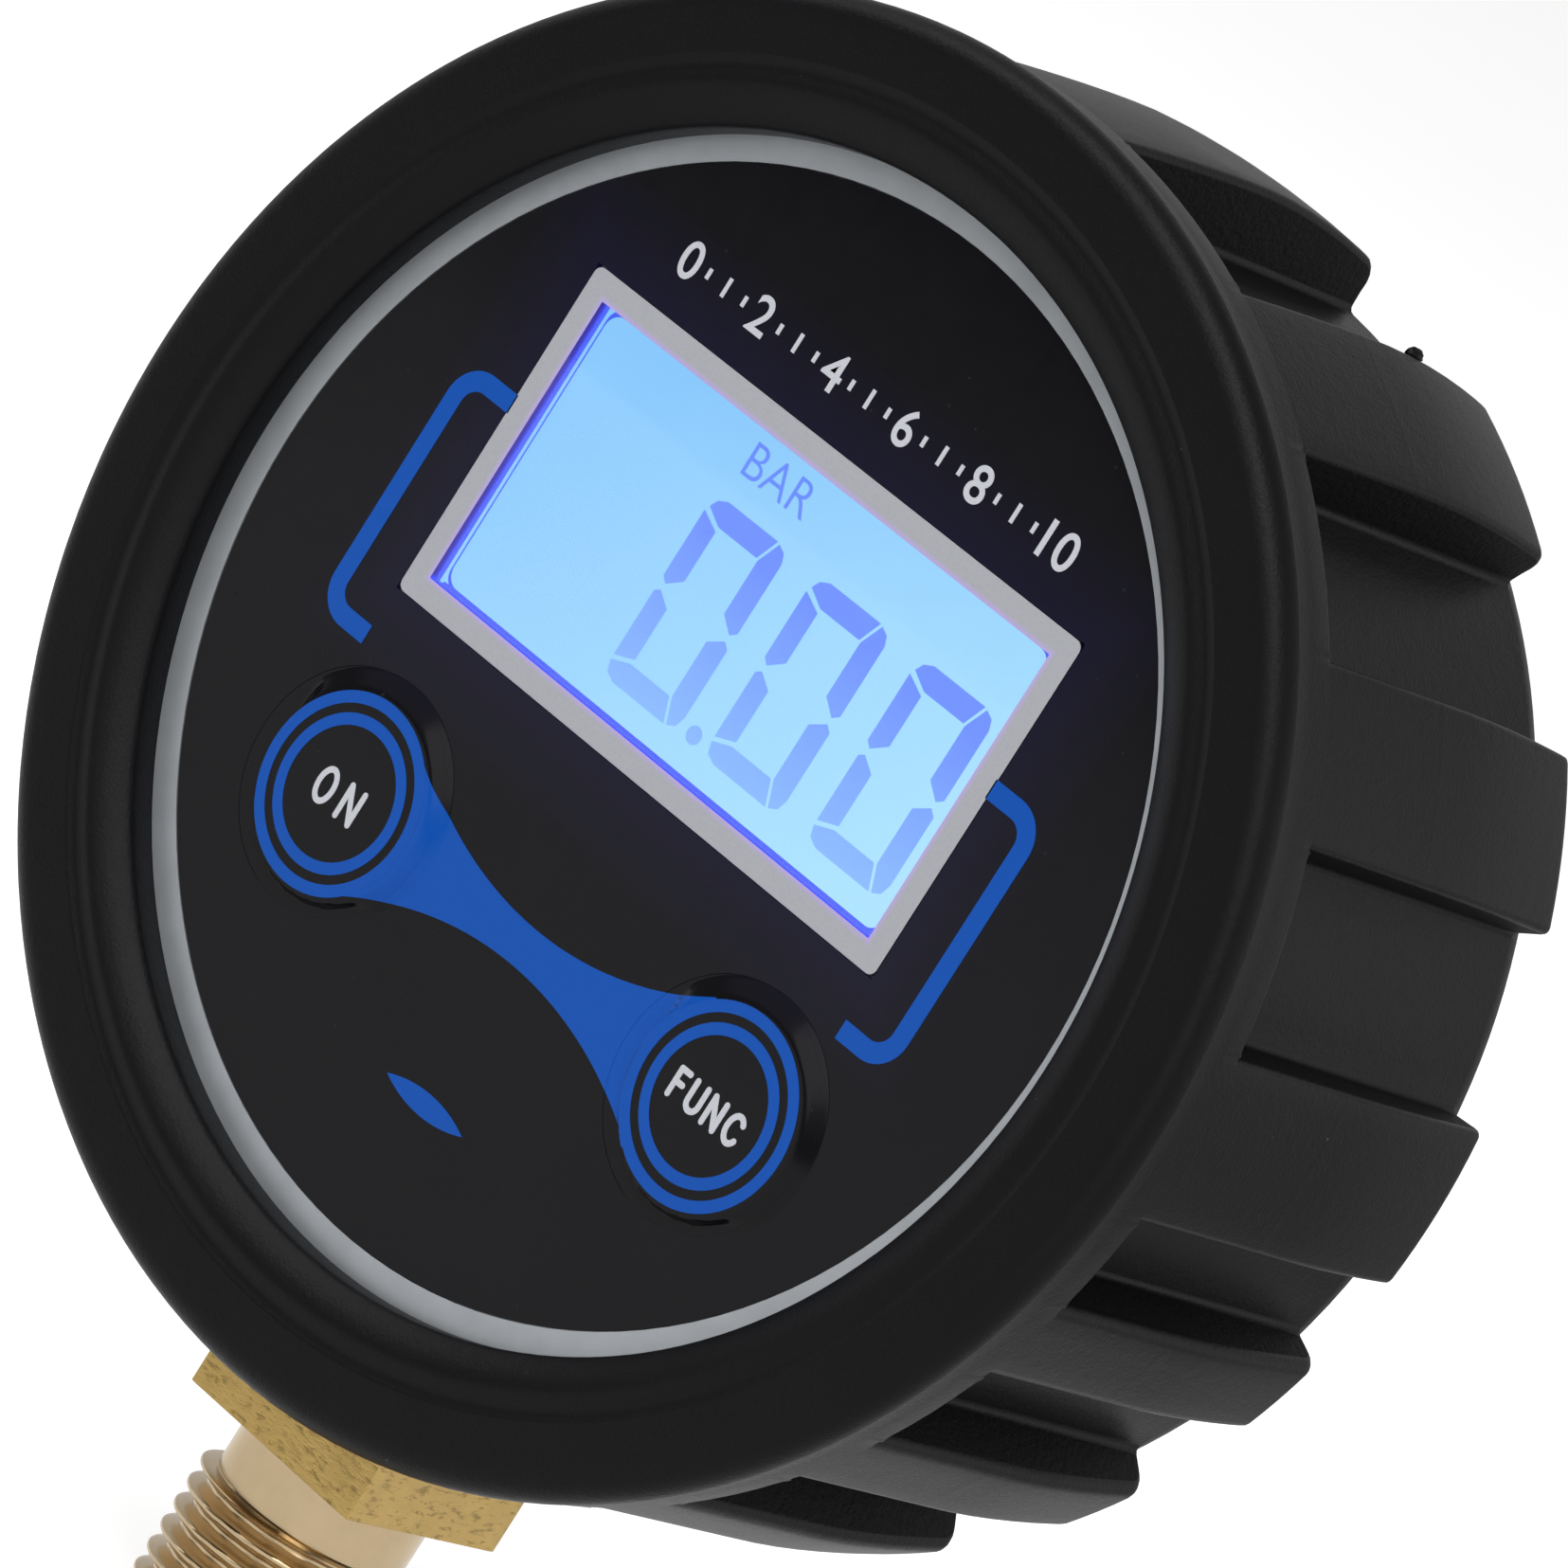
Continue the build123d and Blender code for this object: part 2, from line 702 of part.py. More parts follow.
# ---------------------------------------------------------------- stem and what it carries
with BuildPart() as brass_stem:
    with BuildSketch(Plane.XY.offset(-thread_length)):
        Circle(thread_radius)
    extrude(amount=thread_length)
    chamfer(brass_stem.faces().sort_by(Axis.Z)[0].edges(), thread_chamfer)
    with BuildSketch(Plane.XY):
        Circle(neck_radius)
    extrude(amount=neck_length)
    with BuildSketch(Plane.XY.offset(neck_length)):
        Rectangle(square_across_flats, square_across_flats)
    extrude(amount=square_height)
    with BuildSketch(Plane.XY.offset(square_top)):
        Circle(collar_radius)
    extrude(amount=collar_height)
    with BuildSketch(Plane.XY.offset(collar_top)):
        Circle(spigot_radius)
    extrude(amount=spigot_height - collar_top)
    # groove for the circlip, pocket for the sensor and the pressure port right through
    with BuildSketch(Plane.XY.offset(stem_pad_height)):
        Circle(circlip_radius)
        Circle(spigot_radius - circlip_groove, mode=Mode.SUBTRACT)
    extrude(amount=circlip_thickness + slip, mode=Mode.SUBTRACT)
    with BuildSketch(Plane.XY.offset(sensor_floor)):
        Circle(sensor_pocket_radius)
    extrude(amount=sensor_pocket_depth, mode=Mode.SUBTRACT)
    with BuildSketch(Plane.XY.offset(-thread_length)):
        Circle(port_radius)
    extrude(amount=sensor_floor + thread_length, mode=Mode.SUBTRACT)
save(brass_stem, "brass_stem")

with BuildPart() as stem_gasket:
    with BuildSketch(Plane.XY.offset(collar_top)):
        Circle(collar_radius)
        Circle(spigot_radius + running, mode=Mode.SUBTRACT)
    extrude(amount=gasket_thickness)
save(stem_gasket, "stem_gasket")

with BuildPart() as stem_circlip:
    with BuildSketch(Plane.XY.offset(stem_pad_height)):
        Circle(circlip_radius)
        Circle(spigot_radius - circlip_groove + running, mode=Mode.SUBTRACT)
        with Locations((0, circlip_radius)):
            Rectangle(circlip_opening, circlip_radius, mode=Mode.SUBTRACT)
    extrude(amount=circlip_thickness)
save(stem_circlip, "stem_circlip")

with BuildPart() as sensor_o_ring:
    with BuildSketch(Plane.XZ):
        with Locations((o_ring_radius, sensor_floor + o_ring_section)):
            Circle(o_ring_section)
    revolve(axis=Axis.Z)
save(sensor_o_ring, "sensor_o_ring")

with BuildPart() as pressure_sensor:
    with BuildSketch(Plane.XY.offset(sensor_bottom)):
        Circle(sensor_radius)
    extrude(amount=sensor_height)
    # the thin diaphragm is reached through a blind recess in the underside
    with BuildSketch(Plane.XY.offset(sensor_bottom)):
        Circle(o_ring_radius - 2 * o_ring_section)
    extrude(amount=sensor_height - sensor_diaphragm, mode=Mode.SUBTRACT)
save(pressure_sensor, "pressure_sensor")

with BuildPart() as sensor_retaining_ring:
    with BuildSketch(Plane.XY.offset(sensor_top)):
        Circle(sensor_radius)
        Circle(sensor_radius - sensor_ring_width, mode=Mode.SUBTRACT)
    extrude(amount=sensor_ring_height)
save(sensor_retaining_ring, "sensor_retaining_ring")

# ---------------------------------------------------------------- rear cover with its battery tray
with BuildPart() as rear_cover:
    with BuildSketch(dial_plane(cover_front)):
        Circle(case_radius)
    extrude(amount=-cover_thickness)
    chamfer(rear_cover.faces().sort_by(Axis.Y)[-1].edges(), cover_chamfer)
    with BuildSketch(dial_plane(tray_front)):
        RectangleRounded(tray_width, tray_height, tray_corner)
    extrude(amount=-(cover_front - tray_front))
    with BuildSketch(dial_plane(cover_front)):
        with Locations(*door_screw_places):
            Circle(door_boss_radius)
    extrude(amount=door_boss_length)
    # tray cavity, then the recess that takes the door and its seal
    with BuildSketch(dial_plane(tray_floor_back)):
        Rectangle(tray_inner_width, tray_inner_height)
    extrude(amount=-cell_length, mode=Mode.SUBTRACT)
    with BuildSketch(dial_plane(door_ledge)):
        RectangleRounded(tray_width + 2 * slip, tray_height + 2 * slip, tray_corner)
    extrude(amount=-cell_length, mode=Mode.SUBTRACT)
    with BuildSketch(dial_plane(door_front)):
        with Locations(*door_screw_places):
            Circle(door_tab_radius + slip)
    extrude(amount=-cell_length, mode=Mode.SUBTRACT)
    # slots for the contact tails, screw holes and the breather hole
    with BuildSketch(dial_plane(tray_front)):
        with Locations((contact_sheet / 2 - tray_inner_width / 2, 0)):
            with GridLocations(1, cell_pitch, 1, 2):
                Rectangle(contact_sheet + 2 * slip, tail_width + 2 * slip)
    extrude(amount=-tray_floor, mode=Mode.SUBTRACT)
    with BuildSketch(dial_plane(cover_front)):
        with Locations(*cover_screw_places):
            Circle(cover_screw_shank + slip)
        with Locations(breather_place):
            Circle(breather_radius)
    extrude(amount=-cover_thickness, mode=Mode.SUBTRACT)
    with BuildSketch(dial_plane(cover_back)):
        with Locations(*cover_screw_places):
            Circle(cover_screw_head + slip)
    extrude(amount=cover_screw_sink, mode=Mode.SUBTRACT)
    with BuildSketch(dial_plane(door_front)):
        with Locations(*door_screw_places):
            Circle(door_screw_shank + screw_slip)
    extrude(amount=door_screw_grip + door_pilot_extra, mode=Mode.SUBTRACT)
save(rear_cover, "rear_cover")

with BuildPart() as rear_cover_seal:
    with BuildSketch(dial_plane(case_depth)):
        Circle(case_radius - cover_seal_inset)
        Circle(case_inner_radius, mode=Mode.SUBTRACT)
        with Locations(*cover_screw_places):
            Circle(cover_boss_radius + slip, mode=Mode.SUBTRACT)
    extrude(amount=-cover_seal)
save(rear_cover_seal, "rear_cover_seal")

cover_screw_seat = cover_back - cover_screw_sink
cross_head_screws(
    "rear_cover_screws",
    cover_screw_places,
    cover_screw_seat,
    cover_screw_shank,
    cover_screw_head,
    cover_screw_rise,
    cover_screw_seat - case_depth + cover_screw_grip,
)

with BuildPart() as breather_plug:
    with BuildSketch(dial_plane(cover_front)):
        with Locations(breather_place):
            Circle(breather_radius - running)
    extrude(amount=-cover_thickness)
    with BuildSketch(dial_plane(cover_back)):
        with Locations(breather_place):
            Circle(breather_head_radius)
    extrude(amount=-breather_head)
save(breather_plug, "breather_plug")

with BuildPart() as battery_door:
    with BuildSketch(dial_plane(door_front)):
        RectangleRounded(tray_width, tray_height, tray_corner)
        with Locations(*door_screw_places):
            Circle(door_tab_radius)
    extrude(amount=-door_thickness)
    with BuildSketch(dial_plane(door_front)):
        with Locations(*door_screw_places):
            Circle(door_screw_shank + slip)
    extrude(amount=-door_thickness, mode=Mode.SUBTRACT)
    with BuildSketch(dial_plane(cover_back)):
        with Locations(*door_screw_places):
            Circle(door_screw_head + slip)
    extrude(amount=door_screw_sink, mode=Mode.SUBTRACT)
    # ribs across the outside give a finger grip
    with BuildSketch(dial_plane(cover_back)):
        with GridLocations(door_rib_pitch, 1, 7, 1):
            SlotOverall(door_rib_length, door_rib_width, rotation=90)
    extrude(amount=-door_rib_height)
save(battery_door, "battery_door")

with BuildPart() as battery_door_seal:
    with BuildSketch(dial_plane(door_ledge)):
        RectangleRounded(
            tray_width - 2 * door_seal_inset, tray_height - 2 * door_seal_inset, tray_corner
        )
        Rectangle(
            tray_inner_width + 2 * door_seal_bore_gap,
            tray_inner_height + 2 * door_seal_bore_gap,
            mode=Mode.SUBTRACT,
        )
    extrude(amount=-door_seal)
save(battery_door_seal, "battery_door_seal")

door_screw_seat = cover_back - door_screw_sink
cross_head_screws(
    "battery_door_screws",
    door_screw_places,
    door_screw_seat,
    door_screw_shank,
    door_screw_head,
    door_screw_rise,
    door_screw_seat - door_front + door_screw_grip,
)

# ---------------------------------------------------------------- cells and their contacts
for name, height, nub_side in (("upper", cell_pitch / 2, 1), ("lower", -cell_pitch / 2, -1)):
    cell_plane = Plane(
        origin=(-nub_side * cell_length / 2, cell_depth - stem_depth, dial_height + height),
        x_dir=(0, 1, 0),
        z_dir=(nub_side, 0, 0),
    )
    with BuildPart() as battery_cell:
        with BuildSketch(cell_plane):
            Circle(cell_radius)
        extrude(amount=cell_length - cell_nub_length)
        with BuildSketch(cell_plane.offset(cell_length - cell_nub_length)):
            Circle(cell_nub_radius)
        extrude(amount=cell_nub_length)
    save(battery_cell, f"battery_cell_{name}")

leaf_reach = tray_slack - contact_sheet - running


def contact_leaf(side, height):
    """The outline of a sprung arch from an end plate of the tray to a cell's end."""
    plate = side * (tray_inner_width / 2 - contact_sheet)
    crest = plate - side * leaf_reach
    outer = [
        (plate, height - leaf_height / 2),
        (crest, height - leaf_crest / 2),
        (crest, height + leaf_crest / 2),
        (plate, height + leaf_height / 2),
    ]
    inner = [
        (plate, height + leaf_height / 2 - 2 * contact_spring_sheet),
        (crest + side * contact_spring_sheet, height + leaf_crest / 2 - contact_spring_sheet),
        (crest + side * contact_spring_sheet, height - leaf_crest / 2 + contact_spring_sheet),
        (plate, height - leaf_height / 2 + 2 * contact_spring_sheet),
    ]
    return outer + inner


with BuildPart() as battery_bridge:
    with BuildSketch(dial_plane(cell_depth - leaf_width / 2)):
        with Locations((tray_inner_width / 2 - contact_sheet / 2, 0)):
            Rectangle(contact_sheet, cell_pitch + contact_height)
        Polygon(*contact_leaf(1, cell_pitch / 2), align=None)
        Polygon(*contact_leaf(1, -cell_pitch / 2), align=None)
    extrude(amount=-leaf_width)
save(battery_bridge, "battery_bridge")

for name, height in (("positive", -cell_pitch / 2), ("negative", cell_pitch / 2)):
    with BuildPart() as battery_contact:
        with BuildSketch(dial_plane(cell_depth - leaf_width / 2)):
            with Locations((-tray_inner_width / 2 + contact_sheet / 2, height)):
                Rectangle(contact_sheet, contact_height)
            Polygon(*contact_leaf(-1, height), align=None)
        extrude(amount=-leaf_width)
        # the tail runs forward through the tray's floor to the board
        with BuildSketch(dial_plane(cell_depth - leaf_width / 2)):
            with Locations((-tray_inner_width / 2 + contact_sheet / 2, height)):
                Rectangle(contact_sheet, tail_width)
        extrude(amount=cell_depth - leaf_width / 2 - board_back)
    save(battery_contact, f"battery_contact_{name}")
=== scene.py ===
"""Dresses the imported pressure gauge: boot, stem, dial, display, buttons, rear and what is inside."""

import json
import math
import random

import bpy
from bpy.props import FloatProperty, FloatVectorProperty, PointerProperty
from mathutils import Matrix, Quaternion, Vector


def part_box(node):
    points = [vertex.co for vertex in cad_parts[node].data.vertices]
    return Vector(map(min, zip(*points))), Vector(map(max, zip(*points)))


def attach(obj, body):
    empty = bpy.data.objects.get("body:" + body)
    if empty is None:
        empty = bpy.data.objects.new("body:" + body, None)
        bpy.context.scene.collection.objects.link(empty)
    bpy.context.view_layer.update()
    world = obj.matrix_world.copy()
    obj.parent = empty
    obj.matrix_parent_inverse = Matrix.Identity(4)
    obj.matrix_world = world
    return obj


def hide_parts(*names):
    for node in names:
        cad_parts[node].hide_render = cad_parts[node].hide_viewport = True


bl_info = {
    "name": "Booted Pressure Gauge",
    "version": (1, 0, 0),
    "blender": (4, 5, 0),
    "location": "3D View > Sidebar > Gauge",
    "description": "Builds the detailed pieces of a digital pressure gauge around its fixed frame",
    "category": "Add Mesh",
}

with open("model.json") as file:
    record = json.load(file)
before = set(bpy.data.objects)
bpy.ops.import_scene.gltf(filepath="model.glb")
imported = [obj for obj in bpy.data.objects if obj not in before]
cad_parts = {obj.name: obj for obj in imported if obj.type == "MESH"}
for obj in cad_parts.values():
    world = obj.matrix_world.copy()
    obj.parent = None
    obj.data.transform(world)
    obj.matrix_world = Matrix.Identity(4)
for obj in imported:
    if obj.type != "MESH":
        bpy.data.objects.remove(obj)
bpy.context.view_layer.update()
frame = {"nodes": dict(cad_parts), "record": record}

MM = 0.001

# DIAL is the dial's centre in the plane of the rim, STEM the stem's axis where the thread meets the
# neck, and FACE the depth of the overlay's face behind the rim, in millimetres.
overlay_low, overlay_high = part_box("face_overlay")
case_low, case_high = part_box("case_body")
boot_low, boot_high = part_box("rubber_boot")
stem_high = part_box("brass_stem")[1]
DIAL = Vector(
    ((overlay_low.x + overlay_high.x) / 2, case_low.y, (overlay_low.z + overlay_high.z) / 2)
)
STEM = Vector(frame["record"]["mounts"][0]["pos_m"])
FACE = (overlay_low.y - case_low.y) / MM


def on_dial(x, z, depth):
    """A point from its place on the dial and its depth behind the rim, in millimetres."""
    return DIAL + Vector((x, depth, z)) * MM


def on_stem(radius, angle, height):
    """A point from its radius, its angle round the stem and its height above the thread."""
    return STEM + Vector((radius * math.cos(angle), radius * math.sin(angle), height)) * MM


def srgb(red, green, blue):
    """A colour given as 0 to 255 on a screen, as the linear values that shaders take."""
    return tuple(
        c / 255 / 12.92 if c <= 10 else ((c / 255 + 0.055) / 1.055) ** 2.4
        for c in (red, green, blue)
    )


def smooth_step(t):
    """Eases from 0 to 1."""
    t = min(max(t, 0.0), 1.0)
    return t * t * (3 - 2 * t)


def length(label, words, default):
    """A size property in metres, from a default in millimetres."""
    return FloatProperty(
        name=label,
        description=words,
        default=default * MM,
        precision=5,
        unit="LENGTH",
        subtype="DISTANCE",
    )


def colour(label, words, default):
    """A colour property."""
    return FloatVectorProperty(
        name=label, description=words, default=default, size=3, min=0, max=1, subtype="COLOR"
    )


def feed(tree, value, target):
    """Wires a socket to an input, or sets the input to a fixed value."""
    if isinstance(value, bpy.types.NodeSocket):
        tree.links.new(value, target)
    else:
        target.default_value = value


# ------------------------------------------------------------------ settings
class GaugeBootSettings(bpy.types.PropertyGroup):
    lip_radius: length("Lip radius", "Inner edge of the rubber round the case", 31.6)
    flange_radius: length(
        "Flange radius", "Outer edge of the front flange", (boot_high.x - boot_low.x) / 2 / MM - 0.01
    )
    band_step: length("Band step", "How far the band lies below the flange", 0.3)
    wall: length("Wall", "Rubber thickness at the bottom of the pockets", 3.5)
    lug_taper: length("Lug taper", "How much lower the lugs are at the rear", 0.8)
    lug_crown: length("Lug crown", "How much prouder the lugs over the top are", 0.6)
    band_back: length("Band depth", "Where the pockets between the lugs begin", 2.1)
    parting_depth: length("Parting line", "Depth of the mould's parting line on the lugs", 12.6)
    edge_round: length("Edge rounding", "Rounding along the wide lugs' edges", 0.4)
    lip_lap: length("Lip lap", "How far the soft lip laps over the silver rim", 0.16)
    lip_shift: length("Lip shift", "How far the soft lip sits off centre, left and down", 0.1)
    turn: FloatProperty(
        name="Turn",
        description="Turn of the lug pattern round the case",
        default=math.radians(1.7),
        subtype="ANGLE",
    )
    rubber: colour("Rubber", "Moulded rubber", srgb(10, 10, 12))
    dust: colour("Dust", "Fine dust caught in the grain", srgb(120, 118, 112))


class GaugeStemSettings(bpy.types.PropertyGroup):
    thread_pitch: length("Thread pitch", "Distance between the thread's crests", 1.337)
    thread_depth: length("Thread depth", "Height of the thread's crests", 0.86)
    neck_radius: length("Neck radius", "Plain neck between the thread and the square", 5.6)
    square: length("Square", "Size across the flats of the spanner square", 13.0)
    drawn: colour("Drawn brass", "Flats of the square", srgb(202, 171, 105))
    turned: colour("Turned brass", "Neck and thread", srgb(196, 174, 139))


class GaugeDialSettings(bpy.types.PropertyGroup):
    ink_height: length("Ink height", "How far printed marks stand off the overlay", 0.02)
    bracket_width: length("Bracket width", "Line width of the side brackets", 1.1)
    bracket_reach: length("Bracket reach", "Half the width across both brackets", 22.8)
    bracket_top: length("Bracket top", "Height of the brackets' upper edge", 9.54)
    bracket_bottom: length("Bracket bottom", "Height of the brackets' lower edge", -5.76)
    waist: length("Band waist", "Half the height of the blue band at its middle", 1.1)
    scale_height: length("Scale height", "Height of the scale numbers over the centre", 20.6)
    numeral_size: length("Numeral size", "Cap height of the scale numbers", 2.1)
    black: colour("Black", "Gloss black overlay", srgb(14, 14, 17))
    blue: colour("Blue", "Blue ink", srgb(10, 73, 160))
    silver: colour("Silver", "Silver ink", srgb(182, 184, 190))
    glow: colour("Glow", "Faint purple light on the film round the window", (0.12, 0.06, 1.0))
    rim: colour("Rim", "Satin silver case", srgb(166, 170, 174))


class GaugeDisplaySettings(bpy.types.PropertyGroup):
    border: length("Border", "Width of the printed frame round the window", 1.45)
    digit_width: length("Digit width", "Width of a digit", 5.85)
    digit_height: length("Digit height", "Height of a digit", 11.03)
    digit_pitch: length("Digit pitch", "Distance from one digit to the next", 8.0)
    sky: colour("Backlight", "Lit display, upper left", srgb(128, 200, 254))
    pale: colour("Pale backlight", "Lit display, lower right", srgb(166, 226, 255))
    digit: colour("Digit", "Dark segments at the top", srgb(86, 132, 255))
    digit_low: colour("Low digit", "Dark segments at the bottom", srgb(126, 182, 255))
    edge: colour("Edge glow", "Deep blue light along the display's edges", srgb(42, 80, 255))
    purple: colour("Purple", "Purple light on the window's side walls", srgb(52, 28, 112))


class GaugeButtonSettings(bpy.types.PropertyGroup):
    crown_rise: length("Crown rise", "Height of the crown over the rim's plane", 0.4)
    slope: length("Slope", "Width of the sloping edge", 1.42)
    inner_ring: length("Inner ring", "Inner radius of the inner blue ring", 3.6)
    outer_ring: length("Outer ring", "Outer radius of the outer blue ring", 5.42)
    ring_drop: length("Ring drop", "How far the printed rings sit below the crown's centre", 0.06)
    ring_shift: length("Ring shift", "How far the printed rings sit to the right of the centre", 0.2)
    dome_shift: length("Dome shift", "How far the pressed-up dome sits to the right", 0.39)


class GaugeStageSettings(bpy.types.PropertyGroup):
    azimuth: FloatProperty(
        name="Azimuth",
        description="Direction that the camera looks from, round to the right of the dial",
        default=math.radians(34.7043),
        subtype="ANGLE",
    )
    elevation: FloatProperty(
        name="Elevation",
        description="Height of the camera over the dial as an angle",
        default=math.radians(9.9791),
        subtype="ANGLE",
    )
    roll: FloatProperty(
        name="Roll",
        description="Turn of the camera about its own line of sight",
        default=math.radians(32.3727),
        subtype="ANGLE",
    )
    distance: length("Distance", "From the camera to the point it aims at", 553.135)
    aim_x: length("Aim right", "Aim point to the right of the dial's centre", 8.164)
    aim_z: length("Aim up", "Aim point above the dial's centre", 2.587)
    lens: FloatProperty(
        name="Lens", description="Focal length", default=254.471, unit="CAMERA", min=1
    )
    key_power: FloatProperty(
        name="Key light", description="Power of the main soft light", default=3.0, unit="POWER"
    )
    world: FloatProperty(
        name="Room light", description="Strength of the even room light", default=0.3, min=0
    )
    floor: colour("Floor", "Pale floor", (0.9, 0.9, 0.9))


# ------------------------------------------------------------------ finishes
class Finish:
    """A procedural material that is put together from texture nodes around one shader."""

    def __init__(self, name, colour_value, **sockets):
        self.material = bpy.data.materials.new(name)
        self.material.use_nodes = True
        self.tree = self.material.node_tree
        self.shader = self.tree.nodes["Principled BSDF"]
        self.place = self.node("ShaderNodeTexCoord").outputs["Object"]
        self.colour_value = (*colour_value, 1)
        self.shader.inputs["Base Color"].default_value = self.colour_value
        for socket, value in sockets.items():
            self.shader.inputs[socket.replace("_", " ")].default_value = value

    def node(self, kind, **settings):
        """A new texture node with its settings."""
        made = self.tree.nodes.new(kind)
        for key, value in settings.items():
            setattr(made, key, value)
        return made

    def wire(self, source, target):
        """Joins an output to an input."""
        self.tree.links.new(source, target)

    def stretched(self, scale):
        """Object coordinates multiplied by a scale along each axis."""
        mapping = self.node("ShaderNodeMapping")
        mapping.inputs["Scale"].default_value = scale
        self.wire(self.place, mapping.inputs["Vector"])
        return mapping.outputs["Vector"]

    def noise(self, size_mm, detail=3.0, roughness=0.55, stretch=(1, 1, 1)):
        """Cloudy noise whose blotches are about size_mm across."""
        made = self.node("ShaderNodeTexNoise")
        made.inputs["Scale"].default_value = 1 / (size_mm * MM)
        made.inputs["Detail"].default_value = detail
        made.inputs["Roughness"].default_value = roughness
        self.wire(self.stretched(stretch), made.inputs["Vector"])
        return made.outputs["Fac"]

    def cells(self, size_mm, output="Distance"):
        """Cells about size_mm across."""
        made = self.node("ShaderNodeTexVoronoi")
        made.inputs["Scale"].default_value = 1 / (size_mm * MM)
        self.wire(self.place, made.inputs["Vector"])
        return made.outputs[output]

    def ramp(self, source, stops):
        """Colour or grey levels along a 0 to 1 source."""
        made = self.node("ShaderNodeValToRGB")
        elements = made.color_ramp.elements
        while len(elements) < len(stops):
            elements.new(0.5)
        for element, (position, value) in zip(elements, stops):
            element.position = position
            element.color = (*value, 1) if isinstance(value, tuple) else (value, value, value, 1)
        self.wire(source, made.inputs["Fac"])
        return made.outputs["Color"]

    def mix(self, factor, first, second):
        """Mixes two colours, each a socket or a fixed colour, by a socket or a fixed factor."""
        made = self.node("ShaderNodeMix", data_type="RGBA")
        for value, target in ((factor, 0), (first, 6), (second, 7)):
            feed(self.tree, value, made.inputs[target])
        return made.outputs[2]

    def math(self, operation, first, second=0.0):
        """One arithmetic step on two values, each a socket or fixed."""
        made = self.node("ShaderNodeMath", operation=operation)
        for value, target in zip((first, second), made.inputs):
            feed(self.tree, value, target)
        return made.outputs[0]

    def axis(self, letter):
        """One object coordinate, in metres."""
        made = self.node("ShaderNodeSeparateXYZ")
        self.wire(self.place, made.inputs[0])
        return made.outputs[letter]

    def range(self, source, low, high, to_low=0.0, to_high=1.0):
        """Carries low to high over to to_low to to_high, and holds the ends."""
        made = self.node("ShaderNodeMapRange")
        for value, target in zip((source, low, high, to_low, to_high), made.inputs):
            feed(self.tree, value, target)
        return made.outputs[0]

    def bump(self, height, depth_mm):
        """Adds relief of a depth in millimetres to what is there already."""
        made = self.node("ShaderNodeBump")
        made.inputs["Strength"].default_value = 1.0
        made.inputs["Distance"].default_value = depth_mm * MM
        self.wire(height, made.inputs["Height"])
        normal = self.shader.inputs["Normal"]
        if normal.is_linked:
            self.wire(normal.links[0].from_socket, made.inputs["Normal"])
        self.wire(made.outputs["Normal"], normal)

    def tone(self, source):
        """Sets the surface's colour."""
        self.wire(source, self.shader.inputs["Base Color"])

    def toned(self):
        """The colour that the surface has so far."""
        return self.shader.inputs["Base Color"].links[0].from_socket

    def light(self, tint, strength):
        """The surface's own light, with a colour and a strength that are sockets or fixed."""
        feed(self.tree, tint, self.shader.inputs["Emission Color"])
        feed(self.tree, strength, self.shader.inputs["Emission Strength"])

    def rough(self, source, low, high):
        """Roughness that follows a 0 to 1 source between two values."""
        self.wire(self.range(source, 0, 1, low, high), self.shader.inputs["Roughness"])


def shade(value, factor):
    """The same colour, lighter or darker."""
    return (*(min(c * factor, 1.0) for c in value[:3]), 1)


def moulded(name, value, grain_mm=0.25, relief_mm=0.02, rough=(0.5, 0.62), **sockets):
    """Moulded plastic or rubber: even colour with faint clouding and a fine grain."""
    made = Finish(name, value, **sockets)
    cloud = made.noise(6.0, 2.0)
    grain = made.noise(grain_mm, 4.0, 0.65)
    made.tone(made.mix(cloud, shade(value, 0.86), shade(value, 1.14)))
    made.rough(grain, *rough)
    made.bump(grain, relief_mm)
    return made


def metal(name, value, brush=(1, 1, 14), line_mm=0.3, rough=(0.22, 0.42), relief_mm=0.006, **sockets):
    """Metal with fine drawn or turned lines and faint tarnish."""
    made = Finish(name, value, Metallic=1.0, **sockets)
    lines = made.noise(line_mm, 3.0, 0.6, brush)
    tarnish = made.noise(2.5, 3.0)
    made.tone(made.mix(tarnish, shade(value, 0.82), shade(value, 1.08)))
    made.rough(lines, *rough)
    made.bump(lines, relief_mm)
    return made


def rubber_finish(boot):
    """Boot rubber: fine moulded grain, matt clouding and a little caught dust."""
    made = moulded("boot_rubber", boot.rubber, 0.2, 0.035, (0.3, 0.46), Specular_IOR_Level=0.12)
    speck = made.ramp(made.cells(1.5), [(0.0, 1.0), (0.025, 1.0), (0.045, 0.0)])
    chosen = made.ramp(made.cells(1.5, output="Color"), [(0.0, 0.0), (0.8, 0.0), (0.84, 1.0)])
    dusty = made.math("MULTIPLY", speck, chosen)
    made.tone(made.mix(dusty, made.toned(), (*boot.dust, 1)))
    made.bump(made.noise(0.9, 2.0, 0.5), 0.02)
    return made.material


def drawn_brass_finish(stem):
    """Square: drawn brass bar with dark pits and fine lines across the flats."""
    made = metal("brass_square", stem.drawn, (1, 1, 5), 0.5, (0.3, 0.5), 0.02)
    pits = made.ramp(made.noise(0.9, 5.0, 0.7, (1, 1, 3.2)), [(0.0, 1.0), (0.37, 1.0), (0.46, 0.0)])
    stains = made.ramp(made.noise(2.2, 4.0, 0.6), [(0.3, 0.0), (0.7, 0.35)])
    stained = made.mix(stains, made.toned(), shade(stem.drawn, 0.62))
    made.tone(made.mix(pits, stained, shade(stem.drawn, 0.5)))
    made.bump(made.noise(0.9, 5.0, 0.7, (1, 1, 3.2)), 0.05)
    return made.material


